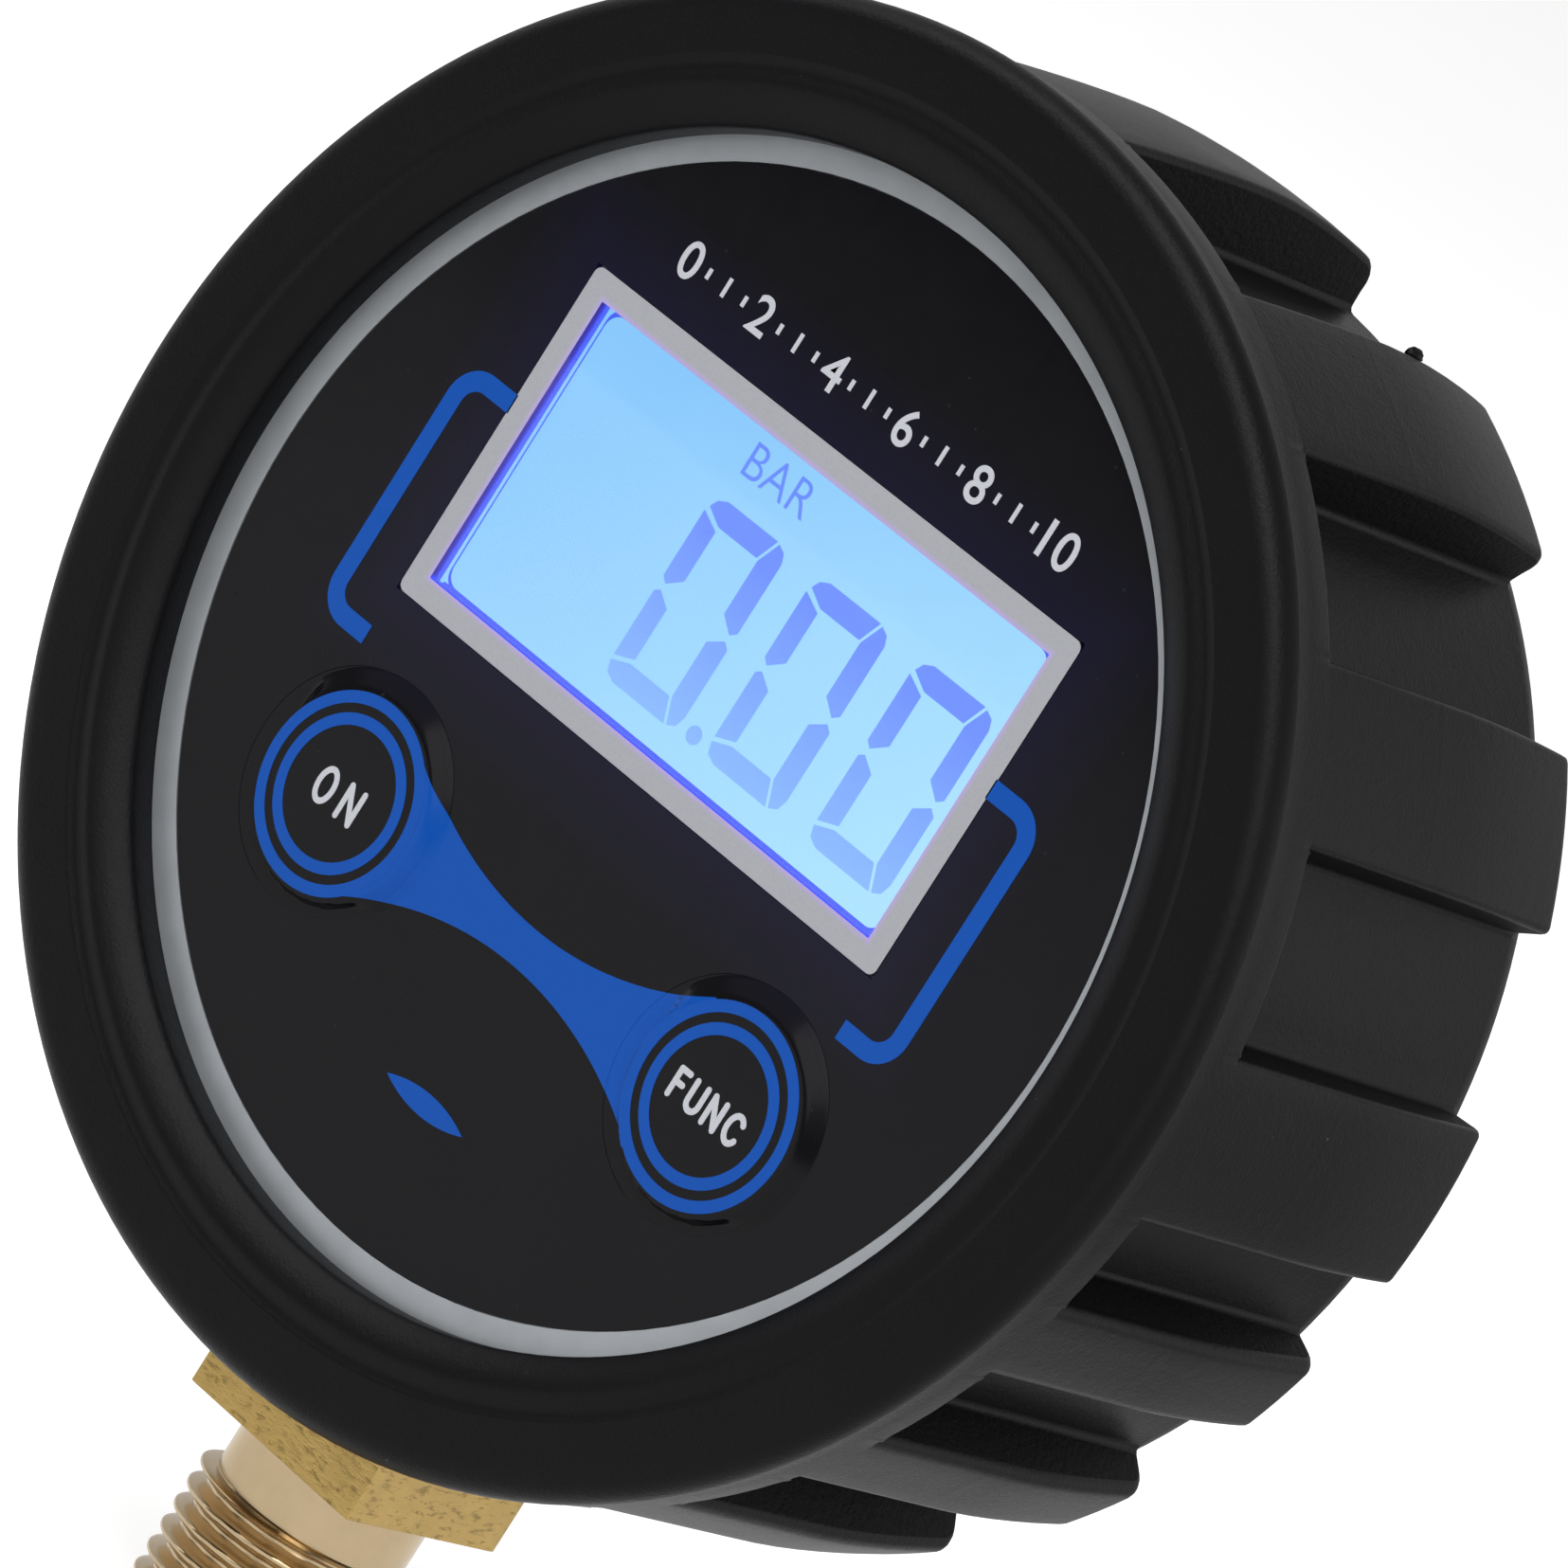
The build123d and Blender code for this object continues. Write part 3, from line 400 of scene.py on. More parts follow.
def turned_brass_finish(stem):
    """Neck and thread: bright turned brass with fine rings."""
    return metal("brass_turned", stem.turned, (0.15, 0.15, 8), 0.5, (0.16, 0.3), 0.004).material


def overlay_finish(dial):
    """Gloss overlay: deep black film with faint waviness, dust pits and purple light by the window."""
    made = Finish("gloss_overlay", dial.black, Roughness=0.14, Specular_IOR_Level=0.15)
    cloud = made.noise(9.0, 2.0)
    pits = made.ramp(made.cells(1.9), [(0.0, 1.0), (0.03, 1.0), (0.05, 0.0)])
    toned = made.mix(cloud, shade(dial.black, 0.85), shade(dial.black, 1.15))
    made.tone(made.mix(pits, toned, shade(dial.black, 2.2)))
    width, height, middle = pane_size()
    glow = near_window(made, width / 2, height / 2, middle, 5.2)
    made.light((*dial.glow, 1), made.math("MULTIPLY", glow, 0.014))
    made.rough(made.noise(1.2, 3.0), 0.1, 0.2)
    made.bump(made.noise(14.0, 1.0), 0.03)
    made.bump(pits, 0.01)
    return made.material


def ink_finish(name, value):
    """Screen-printed ink under a gloss film."""
    made = Finish(name, value, Specular_IOR_Level=0.15)
    grain = made.noise(0.12, 3.0, 0.6)
    made.tone(made.mix(grain, shade(value, 0.9), shade(value, 1.08)))
    made.rough(made.noise(1.2, 3.0), 0.16, 0.26)
    made.bump(grain, 0.003)
    return made.material


def border_finish(dial, half_width, half_height, centre_z):
    """Silver frame print, tinted by the display's light along its inner edge."""
    made = Finish("window_border", dial.silver, Specular_IOR_Level=0.2)
    grain = made.noise(0.12, 3.0, 0.6)
    base = made.mix(grain, shade(dial.silver, 0.62), shade(dial.silver, 0.78))
    glow = near_window(made, half_width, half_height, centre_z, 0.34)
    made.tone(made.mix(glow, base, (*srgb(166, 150, 198), 1)))
    made.light((*srgb(150, 120, 255), 1), made.range(glow, 0, 1, 0.0, 0.05))
    made.rough(grain, 0.3, 0.42)
    made.bump(grain, 0.004)
    return made.material


def near_window(made, half_width, half_height, centre_z, reach_mm):
    """1 beside a rectangle on the dial, falling to 0 at reach_mm outside it."""
    x = made.math("ABSOLUTE", made.math("SUBTRACT", made.axis("X"), DIAL.x))
    z = made.math("ABSOLUTE", made.math("SUBTRACT", made.axis("Z"), DIAL.z + centre_z * MM))
    beyond_x = made.math("SUBTRACT", x, half_width * MM)
    beyond_z = made.math("SUBTRACT", z, half_height * MM)
    beyond = made.math("MAXIMUM", beyond_x, beyond_z)
    return made.range(beyond, 0.0, reach_mm * MM, 1.0, 0.0)


def glowing(name, value, strength, spread=0.12, blotch_mm=9.0):
    """A lit surface: its own light with soft clouding, and hardly any gloss."""
    made = Finish(name, (0.0, 0.0, 0.0), Roughness=0.5, Specular_IOR_Level=0.1)
    cloud = made.noise(blotch_mm, 2.0)
    made.light(made.mix(cloud, shade(value, 1 - spread), shade(value, 1 + spread)), strength)
    return made


def lit_slope(name, first, second, start, reach, sideways):
    """A lit surface whose colour runs from one place on the dial to another, upwards or sideways."""
    made = Finish(name, (0.0, 0.0, 0.0), Roughness=0.4, Specular_IOR_Level=0.1)
    along = made.math("SUBTRACT", made.axis("Z"), DIAL.z)
    if sideways:
        along = made.math("SUBTRACT", along, made.math("SUBTRACT", made.axis("X"), DIAL.x))
    share = made.range(along, start * MM, (start + reach) * MM)
    cloud = made.range(made.noise(9.0, 2.0), 0.0, 1.0, -0.08, 0.08)
    made.light(made.mix(made.math("ADD", share, cloud), (*second, 1), (*first, 1)), 1.0)
    return made.material


def painted_wall_light_finish(display, glass, foot):
    """Window walls: painted light from the display, glowing purple at the front and turning to deep blue
    at the display and along the foot.
    """
    made = moulded("painted_display_light_walls", display.purple, 0.2, 0.002, (0.4, 0.5), Specular_IOR_Level=0.1)
    depth = made.math("SUBTRACT", made.axis("Y"), DIAL.y)
    deep = made.range(depth, (glass - 0.7) * MM, (glass - 0.3) * MM)
    low = made.range(made.axis("Z"), foot + 0.3 * MM, foot + 0.05 * MM)
    share = made.math("MAXIMUM", deep, low)
    # Painted light: the walls glow purple at the front and deep blue near the display and along the foot.
    made.light(made.mix(share, shade(display.purple, 0.8), (*display.edge, 1)), 0.95)
    return made.material


def clear_finish(name, value, roughness=0.02):
    """Clear pane with the faintest waviness."""
    made = Finish(
        name, value, Transmission_Weight=1.0, IOR=1.45, Roughness=roughness, Specular_IOR_Level=0.15
    )
    made.tone(made.mix(made.noise(8.0, 2.0), shade(value, 0.98), shade(value, 1.0)))
    made.bump(made.noise(12.0, 1.0), 0.002)
    return made.material


def paint(node, material):
    """Gives a CAD node a finish."""
    slots = frame["nodes"][node].data.materials
    slots.clear()
    slots.append(material)


# ------------------------------------------------------------------ shapes
class Shape:
    """Points and faces that are gathered and then made into one piece."""

    def __init__(self):
        self.points, self.faces, self.finishes = [], [], []

    def add(self, points, faces, finish=0):
        """Adds points and faces, with one finish for all or a finish for each face."""
        base = len(self.points)
        self.points += points
        self.faces += [tuple(base + i for i in face) for face in faces]
        self.finishes += [finish] * len(faces) if isinstance(finish, int) else finish

    def make(self, name, materials, body, slot, replaces=(), crease=30.0):
        """Makes the piece, lets it ride a body and hides the nodes it stands in for."""
        mesh = bpy.data.meshes.new(name)
        mesh.from_pydata(self.points, [], self.faces)
        for material in materials:
            mesh.materials.append(material)
        mesh.polygons.foreach_set("material_index", self.finishes)
        finish_mesh(mesh, crease)
        piece = bpy.data.objects.new(name, mesh)
        bpy.context.scene.collection.objects.link(piece)
        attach(piece, body)
        if replaces:
            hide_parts(*replaces)
        return piece


def finish_mesh(mesh, crease):
    """Smooth shading that breaks at edges sharper than crease degrees."""
    mesh.polygons.foreach_set("use_smooth", [True] * len(mesh.polygons))
    mesh.set_sharp_from_angle(angle=math.radians(crease))
    mesh.validate()
    mesh.update()


def wrapped_faces(rows, columns, close_rows=False):
    """Quads of a grid whose columns close on themselves, and whose rows may too."""
    last = rows if close_rows else rows - 1
    faces = []
    for row in range(last):
        upper, lower = row * columns, ((row + 1) % rows) * columns
        for column in range(columns):
            after = (column + 1) % columns
            faces.append((upper + column, upper + after, lower + after, lower + column))
    return faces


def lathe(shape, profile, centre, steps):
    """Turns a profile of radius and depth about an axis along the dial's depth."""
    rings = []
    for radius, depth in profile:
        count = 1 if radius < 1e-6 else steps
        rings.append([on_dial(x, z, depth) for x, z in circle(centre, radius, steps)[:count]])
    points, faces, starts = [], [], []
    for ring in rings:
        starts.append(len(points))
        points += ring
    for index in range(len(rings) - 1):
        first, second = rings[index], rings[index + 1]
        a, b = starts[index], starts[index + 1]
        for i in range(steps):
            j = (i + 1) % steps
            if len(first) == 1:
                faces.append((a, b + j, b + i))
            elif len(second) == 1:
                faces.append((a + i, a + j, b))
            else:
                faces.append((a + i, a + j, b + j, b + i))
    shape.add(points, faces)


def print_rows(shape, rows, surface, lift, closed=False):
    """A thin printed layer over rows of dial points, following a surface depth function."""
    count, width = len(rows), len(rows[0])
    top = [on_dial(x, z, surface(x, z) - lift) for row in rows for x, z in row]
    low = [on_dial(x, z, surface(x, z) + lift * 0.2) for row in rows for x, z in row]
    size = len(top)
    faces = []
    span = width if closed else width - 1
    for r in range(count - 1):
        for c in range(span):
            d = (c + 1) % width
            quad = (r * width + c, r * width + d, (r + 1) * width + d, (r + 1) * width + c)
            faces.append(quad)
            faces.append(tuple(size + i for i in reversed(quad)))
    for r in (0, count - 1):
        for c in range(span):
            a, b = r * width + c, r * width + (c + 1) % width
            faces.append((a, b, size + b, size + a) if r else (b, a, size + a, size + b))
    if not closed:
        for c in (0, width - 1):
            for r in range(count - 1):
                a, b = r * width + c, (r + 1) * width + c
                faces.append((a, b, size + b, size + a) if not c else (b, a, size + a, size + b))
    shape.add(top + low, faces)


def print_outline(shape, outline, depth, lift):
    """A thin printed plate with one outline of dial points."""
    count = len(outline)
    top = [on_dial(x, z, depth - lift) for x, z in outline]
    low = [on_dial(x, z, depth + lift * 0.2) for x, z in outline]
    faces = [tuple(range(count)), tuple(range(2 * count - 1, count - 1, -1))]
    for i in range(count):
        j = (i + 1) % count
        faces.append((j, i, count + i, count + j))
    shape.add(top + low, faces)


def lettering(shape, text, centre, cap_height, depth, lift, weight, squeeze=1.0):
    """Raised letters, centred on a dial point."""
    curve = bpy.data.curves.new("lettering", "FONT")
    curve.body = text
    curve.align_x = "CENTER"
    curve.offset = weight
    curve.extrude = 0.5
    holder = bpy.data.objects.new("lettering", curve)
    bpy.context.scene.collection.objects.link(holder)
    bpy.context.view_layer.update()
    graph = bpy.context.evaluated_depsgraph_get()
    flat = bpy.data.meshes.new_from_object(holder.evaluated_get(graph))
    heights = [v.co.y for v in flat.vertices]
    sides = [v.co.x for v in flat.vertices]
    low, high = min(heights), max(heights)
    middle = (min(sides) + max(sides)) / 2
    scale = cap_height / (high - low)
    points = [
        on_dial(
            centre[0] + (v.co.x - middle) * scale * squeeze,
            centre[1] + (v.co.y - (low + high) / 2) * scale,
            depth - lift * (v.co.z + 0.3),
        )
        for v in flat.vertices
    ]
    shape.add(points, [tuple(p.vertices) for p in flat.polygons])
    bpy.data.objects.remove(holder)
    bpy.data.curves.remove(curve)
    bpy.data.meshes.remove(flat)


def stroke(shape, path, width, depth, lift, closed=False):
    """A raised pen stroke of even width along a smooth path of dial points, with round ends."""
    left, right = [], []
    for i, (x, z) in enumerate(path):
        before = path[i - 1] if i or closed else (x, z)
        after = path[(i + 1) % len(path)] if i + 1 < len(path) or closed else (x, z)
        across, along = before[1] - after[1], after[0] - before[0]
        reach = width / 2 / math.hypot(across, along)
        left.append((x + across * reach, z + along * reach))
        right.append((x - across * reach, z - along * reach))
    if closed:
        print_rows(shape, [right, left], lambda x, z: depth, lift, closed=True)
        return
    outline = list(right)
    for start, end, side in ((right[-1], path[-1], left[::-1]), (left[0], path[0], [])):
        turn = math.degrees(math.atan2(start[1] - end[1], start[0] - end[0]))
        outline += arc_points(end, width / 2, turn, turn + 180, 8)[1:-1] + side
    print_outline(shape, outline, depth, lift)


def arc_points(centre, radius, start, end, steps):
    """Points along an arc, with angles in degrees."""
    return [
        (
            centre[0] + radius * math.cos(math.radians(start + (end - start) * i / steps)),
            centre[1] + radius * math.sin(math.radians(start + (end - start) * i / steps)),
        )
        for i in range(steps + 1)
    ]


def oval(centre, half_width, half_height, start, end, steps):
    """Points along part of an oval, with angles in degrees."""
    return [
        (centre[0] + half_width * x, centre[1] + half_height * z)
        for x, z in arc_points((0, 0), 1.0, start, end, steps)
    ]


LETTERS = {
    "O": (0.60, [oval((0.5, 0.5), 0.5, 0.5, 0, 352, 44)]),
    "N": (0.56, [[(0, 0), (0, 1)], [(0, 1), (1, 0)], [(1, 0), (1, 1)]]),
    "F": (0.42, [[(0, 0), (0, 1)], [(0, 1), (1, 1)], [(0, 0.52), (0.86, 0.52)]]),
    "U": (0.54, [[(0, 1), *oval((0.5, 0.3), 0.5, 0.3, 180, 360, 14), (1, 1)]]),
    "C": (0.64, [oval((0.5, 0.5), 0.5, 0.5, 38, 322, 32)]),
}


def pen_words(shape, text, centre, cap_height, gap, pen, depth, lift):
    """Capitals drawn with a round pen, centred on a dial point, each stroke just over the last."""
    tall = cap_height - pen
    widths = [LETTERS[letter][0] * tall for letter in text]
    x = centre[0] - (sum(widths) + gap * (len(text) - 1)) / 2
    for letter, width in zip(text, widths):
        for layer, path in enumerate(LETTERS[letter][1]):
            placed = [(x + u * width, centre[1] - tall / 2 + v * tall) for u, v in path]
            stroke(shape, placed, pen, depth - 0.004 * layer, lift, closed=letter == "O")
        x += width + gap


def rounded_loop(width, height, centre_z, radius, steps=6):
    """A closed loop of points round a rectangle with rounded corners."""
    x, z = width / 2 - radius, height / 2 - radius
    loop = []
    for side, (sx, sz) in enumerate(((1, 1), (-1, 1), (-1, -1), (1, -1))):
        corner = (sx * x, centre_z + sz * z)
        loop += arc_points(corner, radius, side * 90, side * 90 + 90, steps)
    return loop


def circle(centre, radius, steps=96):
    """A closed loop of points round a circle."""
    return [
        (
            centre[0] + radius * math.cos(math.tau * i / steps),
            centre[1] + radius * math.sin(math.tau * i / steps),
        )
        for i in range(steps)
    ]


def ring_rows(centre, inner, outer, steps=96, bands=4):
    """Rows of points that fill a ring."""
    return [circle(centre, inner + (outer - inner) * b / bands, steps) for b in range(bands + 1)]


# ------------------------------------------------------------------ rubber boot
# Distances out from the lip's edge, each with how far the skin lies behind the boot's front there.
GROOVE = (
    (2.0, 0.0), (2.2, 0.03), (2.45, 0.1), (2.65, 0.17),
    (2.85, 0.2), (3.05, 0.15), (3.24, 0.06), (3.38, 0.0),
)
LIP_SLOPE = ((0.0, 1.45), (0.05, 1.24), (0.22, 1.04), (0.6, 0.7), (1.05, 0.36), (1.5, 0.12), (1.82, 0.02))

# Depths behind the rim, each with the drop below the flange, and depths past the band's back edge, each
# with the drop below the band.
FLANGE_STEP = ((-1.33, 0.0), (-1.28, 0.03), (-1.25, 0.27), (-1.18, 0.3), (0.4, 0.3))
POCKET_EDGE = ((-0.25, 0.0), (-0.12, 0.04), (-0.04, 0.12), (0.0, 0.27))

# Depths past the band's back edge and past the lugs' back, each with the height over the pocket's floor.
POCKET_FOOT = ((0.02, 1.9), (0.04, 0.55), (0.1, 0.27), (0.25, 0.08), (0.52, 0.0))
REAR_FOOT = ((0.01, 0.55), (0.05, 0.27), (0.14, 0.08), (0.35, 0.0))

# Depths of the rows before and behind the mould's parting line, and the line's own small ridge.
FRONT_DEPTHS = (3.6, 5.2, 7.0, 9.0, 11.0, 12.3)
REAR_DEPTHS = (13.6, 15.5, 17.5, 19.5, 21.5, 23.5, 25.2)
PARTING_RIDGE = ((-0.08, 0.0), (-0.02, 0.003), (0.02, 0.003), (0.08, 0.0))

# Depths behind the rim, radii and roundings, in millimetres.
FLANGE_ROUND = 1.5
LUG_BACK, LUG_BACK_ROUND = 27.2, 1.1
LUG_CREST = 15.0
REAR_SEAT = 28.1
REAR_LAP = 1.9
RIB_FRONT, RIB_BACK, RIB_HEIGHT = 14.1, 15.9, 0.6
RIM_REACH = 0.35
LIP_OUTER, LIP_FADE = 34.4, 2.4
STEM_HOLE = 9.4
TOP_CLEARANCE = 0.004

# Lugs: angles in degrees from the dial's right, round over its top.
WIDE_LUGS, WIDE_PITCH, WIDE_HALF = 7, 30.0, 7.0
NARROW_LUGS, NARROW_PITCH, NARROW_HALF, NARROW_START = 3, 18.0, 4.0, 19.7
NARROW_ROUND_SHARE = 1.7
LUG_STEP, POCKET_STEP = 1.6, 2.2

# The nub of flash: its angle, its depth behind the rim, and half its size along, across and out.
NUB_ANGLE, NUB_DEPTH = math.radians(69.2), 18.7
NUB_SIZE = (0.65, 0.42, 0.4)


def boot_section(boot):
    """The boot's section as rows of depth, radius on the lugs and radius between them."""
    lip, flange = boot.lip_radius / MM, boot.flange_radius / MM
    front, back = (boot_low.y - case_low.y) / MM, (boot_high.y - case_low.y) / MM
    band = flange - boot.band_step / MM
    floor = lip + boot.wall / MM
    rows = [(RIM_REACH, lip, lip), (-0.012, lip, lip)]
    rows += [(front + rise, lip + out, lip + out) for out, rise in LIP_SLOPE + GROOVE]
    shoulder = flange - FLANGE_ROUND
    for radius in (lip + 3.42, lip + 4.3, shoulder - 0.6):
        rows.append((front, radius, radius))
    for step in range(11):
        turn = math.pi / 2 * step / 10
        radius = shoulder + FLANGE_ROUND * math.sin(turn)
        rows.append((front + FLANGE_ROUND * (1 - math.cos(turn)), radius, radius))
    rows += [(depth, flange - drop, flange - drop) for depth, drop in FLANGE_STEP]
    pocket = boot.band_back / MM
    rows += [(pocket + along, band, band - drop) for along, drop in POCKET_EDGE]
    rows += [(pocket + along, band, floor + height) for along, height in POCKET_FOOT]
    rows += [(depth, *lug_and_floor(boot, depth)) for depth in FRONT_DEPTHS]
    parting = boot.parting_depth / MM
    for along, flash in PARTING_RIDGE:
        lug, low = lug_and_floor(boot, parting + along)
        rows.append((parting + along, lug + flash, low))
    rows += [(depth, *lug_and_floor(boot, depth)) for depth in REAR_DEPTHS]
    rear_round = back - LUG_BACK
    lug, low = lug_and_floor(boot, LUG_BACK - LUG_BACK_ROUND)
    for step in range(6):
        turn = math.pi / 2 * step / 5
        depth = LUG_BACK - LUG_BACK_ROUND * (1 - math.sin(turn))
        rows.append((depth, lug - LUG_BACK_ROUND * (1 - math.cos(turn)), low))
    for along, height in REAR_FOOT:
        radius = floor - rear_round + math.sqrt(rear_round**2 - along**2)
        rows.append((LUG_BACK + along, radius + height, radius))
    for step in range(2, 11):
        turn = math.pi / 2 * step / 10
        radius = floor - rear_round * (1 - math.cos(turn))
        rows.append((LUG_BACK + rear_round * math.sin(turn), radius, radius))
    opening = case_radius() - REAR_LAP
    inner = (
        (back, opening + 0.4), (back - 0.1, opening + 0.1), (back - 0.4, opening),
        (REAR_SEAT + 0.1, opening), (REAR_SEAT, opening + 0.1), (REAR_SEAT, lip),
        (RIB_BACK, lip), (RIB_BACK, lip - RIB_HEIGHT),
        (RIB_FRONT, lip - RIB_HEIGHT), (RIB_FRONT, lip),
        (RIM_REACH + 0.02, lip),
    )
    return rows + [(depth, radius, radius) for depth, radius in inner]


def case_radius():
    """Outer radius of the case in millimetres."""
    return (case_high.x - case_low.x) / 2 / MM


def lug_and_floor(boot, depth):
    """Radius of the lugs and of the pockets between them at a depth."""
    band = (boot.flange_radius - boot.band_step) / MM
    share = max(0.0, (depth - LUG_CREST) / (LUG_BACK - LUG_BACK_ROUND - LUG_CREST))
    return band - boot.lug_taper / MM * share**1.7, (boot.lip_radius + boot.wall) / MM


def lug_crown(boot, angle, depth):
    """How much prouder a lug is towards the top of the boot, most of all at its crest."""
    along = (depth - boot.band_back / MM) / (LUG_BACK - boot.band_back / MM)
    if not 0 < along < 1:
        return 0.0
    swell = math.sin(math.pi * along**1.15) ** 0.8 + 0.35 * along
    return boot.lug_crown / MM * swell * max(0.0, math.sin(angle)) ** 3


def lip_place(boot, radius, angle, depth):
    """Where a point of the boot lies on the dial, with the soft lip pushed a little off centre."""
    x, z = radius * math.cos(angle), radius * math.sin(angle)
    if depth < -0.005:
        share = smooth_step((LIP_OUTER - radius) / LIP_FADE)
        radius -= share * boot.lip_lap / MM
        shift = share * boot.lip_shift / MM
        x, z = radius * math.cos(angle) - shift, radius * math.sin(angle) - shift
    return x, z


def boot_stations(boot):
    """Angles round the boot, each with its drop below the lugs or its height over the floor."""
    lugs = [(k * WIDE_PITCH, WIDE_HALF) for k in range(WIDE_LUGS)]
    for k in range(NARROW_LUGS):
        lugs += [
            (-NARROW_START - NARROW_PITCH * k, NARROW_HALF),
            (180 + NARROW_START + NARROW_PITCH * k, NARROW_HALF),
        ]
    lugs.sort()
    middle = (boot.lip_radius + boot.wall + boot.flange_radius) / 2 / MM
    draft, fillet = 0.1, 0.42
    foot = [
        (draft + fillet * (1 - math.sin(t)), "floor", fillet * (1 - math.cos(t)))
        for t in (0.0, 0.52, 1.05, math.pi / 2)
    ]
    stations = []
    for index, (centre, half) in enumerate(lugs):
        edge = boot.edge_round / MM * (1.0 if half == WIDE_HALF else NARROW_ROUND_SHARE)
        side = foot + [
            (edge * (math.cos(t) - 1), "lug", edge * (1 - math.sin(t)))
            for t in (0.0, 0.39, 0.79, 1.18, math.pi / 2)
        ]
        for out, kind, value in side:
            stations.append((centre - half - math.degrees(out / middle), kind, value))
        inner = half - math.degrees(edge / middle)
        count = round(2 * inner / LUG_STEP)
        for step in range(1, count):
            stations.append((centre - inner + 2 * inner * step / count, "lug", 0.0))
        for out, kind, value in reversed(side):
            stations.append((centre + half + math.degrees(out / middle), kind, value))
        after = lugs[index + 1] if index + 1 < len(lugs) else (lugs[0][0] + 360, lugs[0][1])
        reach = math.degrees((draft + fillet) / middle)
        start, end = centre + half + reach, after[0] - after[1] - reach
        count = round((end - start) / POCKET_STEP)
        for step in range(1, count):
            stations.append((start + (end - start) * step / count, "floor", 0.0))
    turn = math.degrees(boot.turn)
    return [(math.radians(angle + turn), kind, value) for angle, kind, value in stations]


def boot_skin(boot):
    """The boot's closed skin before the hole for the stem is cut."""
    rows, stations = boot_section(boot), boot_stations(boot)
    top_edge = (boot_high.z - DIAL.z) / MM - TOP_CLEARANCE
    points, finishes = [], []
    for depth, lug, floor in rows:
        for index, (angle, kind, value) in enumerate(stations):
            top = lug + lug_crown(boot, angle, depth)
            radius = max(top - value, floor) if kind == "lug" else min(floor + value, lug)
            x, z = lip_place(boot, radius, angle, depth)
            fit = min(1.0, top_edge / max(z, 1.0))
            points.append(on_dial(x * fit, z * fit, depth))
            turned = kind != stations[(index + 1) % len(stations)][1]
            finishes.append(1 if turned and lug - floor > 0.5 else 0)
    shape = Shape()
    shape.add(points, wrapped_faces(len(rows), len(stations), close_rows=True), finishes)
    return shape


def flash_nub(boot, angle, depth, size):
    """A ragged nub of flash that the mould left on a lug's edge."""
    chance = random.Random(7)
    radius = (boot.flange_radius - boot.band_step) / MM + 0.25
    rows, steps = 7, 12
    points = []
    for row in range(rows):
        polar = math.pi * (row + 0.5) / rows
        for step in range(steps):
            turn = math.tau * step / steps
            swell = 1 + 0.3 * (chance.random() - 0.5)
            along = size[0] * math.cos(turn) * math.sin(polar) * swell
            across = size[1] * math.sin(turn) * math.sin(polar) * swell
            out = size[2] * math.cos(polar) * swell
            reach, place = radius + out, angle + across / radius
            points.append(on_dial(reach * math.cos(place), reach * math.sin(place), depth + along))
    shape = Shape()
    faces = wrapped_faces(rows, steps)
    faces += [tuple(range(steps))[::-1], tuple(range((rows - 1) * steps, rows * steps))]
    shape.add(points, faces)
    return shape


def prism(name, outline, low, high):
    """A closed upright prism over an outline of points round the stem, in millimetres."""
    count = len(outline)
    points = [STEM + Vector((x, y, z)) * MM for z in (low, high) for x, y in outline]
    faces = [tuple(reversed(range(count))), tuple(range(count, 2 * count))]
    for i in range(count):
        j = (i + 1) % count
        faces.append((i, j, count + j, count + i))
    mesh = bpy.data.meshes.new(name)
    mesh.from_pydata(points, [], faces)
    made = bpy.data.objects.new(name, mesh)
    bpy.context.scene.collection.objects.link(made)
    return made


def cut(piece, cutter, crease):
    """Cuts one piece out of another and drops the cutter."""
    modifier = piece.modifiers.new("cut", "BOOLEAN")
    modifier.operation = "DIFFERENCE"
    modifier.solver = "EXACT"
    modifier.object = cutter
    bpy.context.view_layer.update()
    graph = bpy.context.evaluated_depsgraph_get()
    mesh = bpy.data.meshes.new_from_object(piece.evaluated_get(graph))
    piece.modifiers.clear()
    spare = piece.data
    piece.data = mesh
    bpy.data.meshes.remove(spare)
    bpy.data.objects.remove(cutter)
    finish_mesh(mesh, crease)


class GAUGE_OT_boot(bpy.types.Operator):
    """Moulds the rubber boot with its flange, its grip lugs and the hole for the stem"""

    bl_idname = "gauge.boot"
    bl_label = "Rubber Boot"

    def execute(self, context):
        boot = context.scene.gauge_boot
        rubber = rubber_finish(boot)
        coarse = moulded(
            "boot_rubber_walls", boot.rubber, 0.4, 0.1, (0.5, 0.7), Specular_IOR_Level=0.1
        )
        finishes = [rubber, coarse.material]
        piece = boot_skin(boot).make(
            "boot_rubber_shell", finishes, "gauge", "boot_rubber", ["rubber_boot"], 34
        )
        nub = flash_nub(boot, NUB_ANGLE, NUB_DEPTH, NUB_SIZE)
        nub.make("boot_flash_nub", [rubber], "gauge", "boot_rubber", (), 60)
        outline = circle((0, 0), STEM_HOLE)
        cut(piece, prism("hole", outline, SQUARE_LOW, (DIAL.z - STEM.z) / MM / 2), 34)
        return {"FINISHED"}


# ------------------------------------------------------------------ brass stem
# Heights above the thread, radii and roundings, in millimetres.
SQUARE_LOW, SQUARE_HIGH = 3.2, 10.2
THREAD_LOW, THREAD_START, THREAD_ROWS = -10.4, 0.42, 132
PORT_RADIUS, PORT_CHAMFER = 1.6, 0.4
COLLAR_RADIUS, COLLAR_HIGH, COLLAR_ROUND = 8.9, 11.6, 0.08
SPIGOT_RADIUS, CIRCLIP_ROOT = 7.0, 6.5
CIRCLIP_LOW, CIRCLIP_HIGH = 17.5, 18.6
POCKET_RADIUS, POCKET_DEPTH = 5.55, 6.2


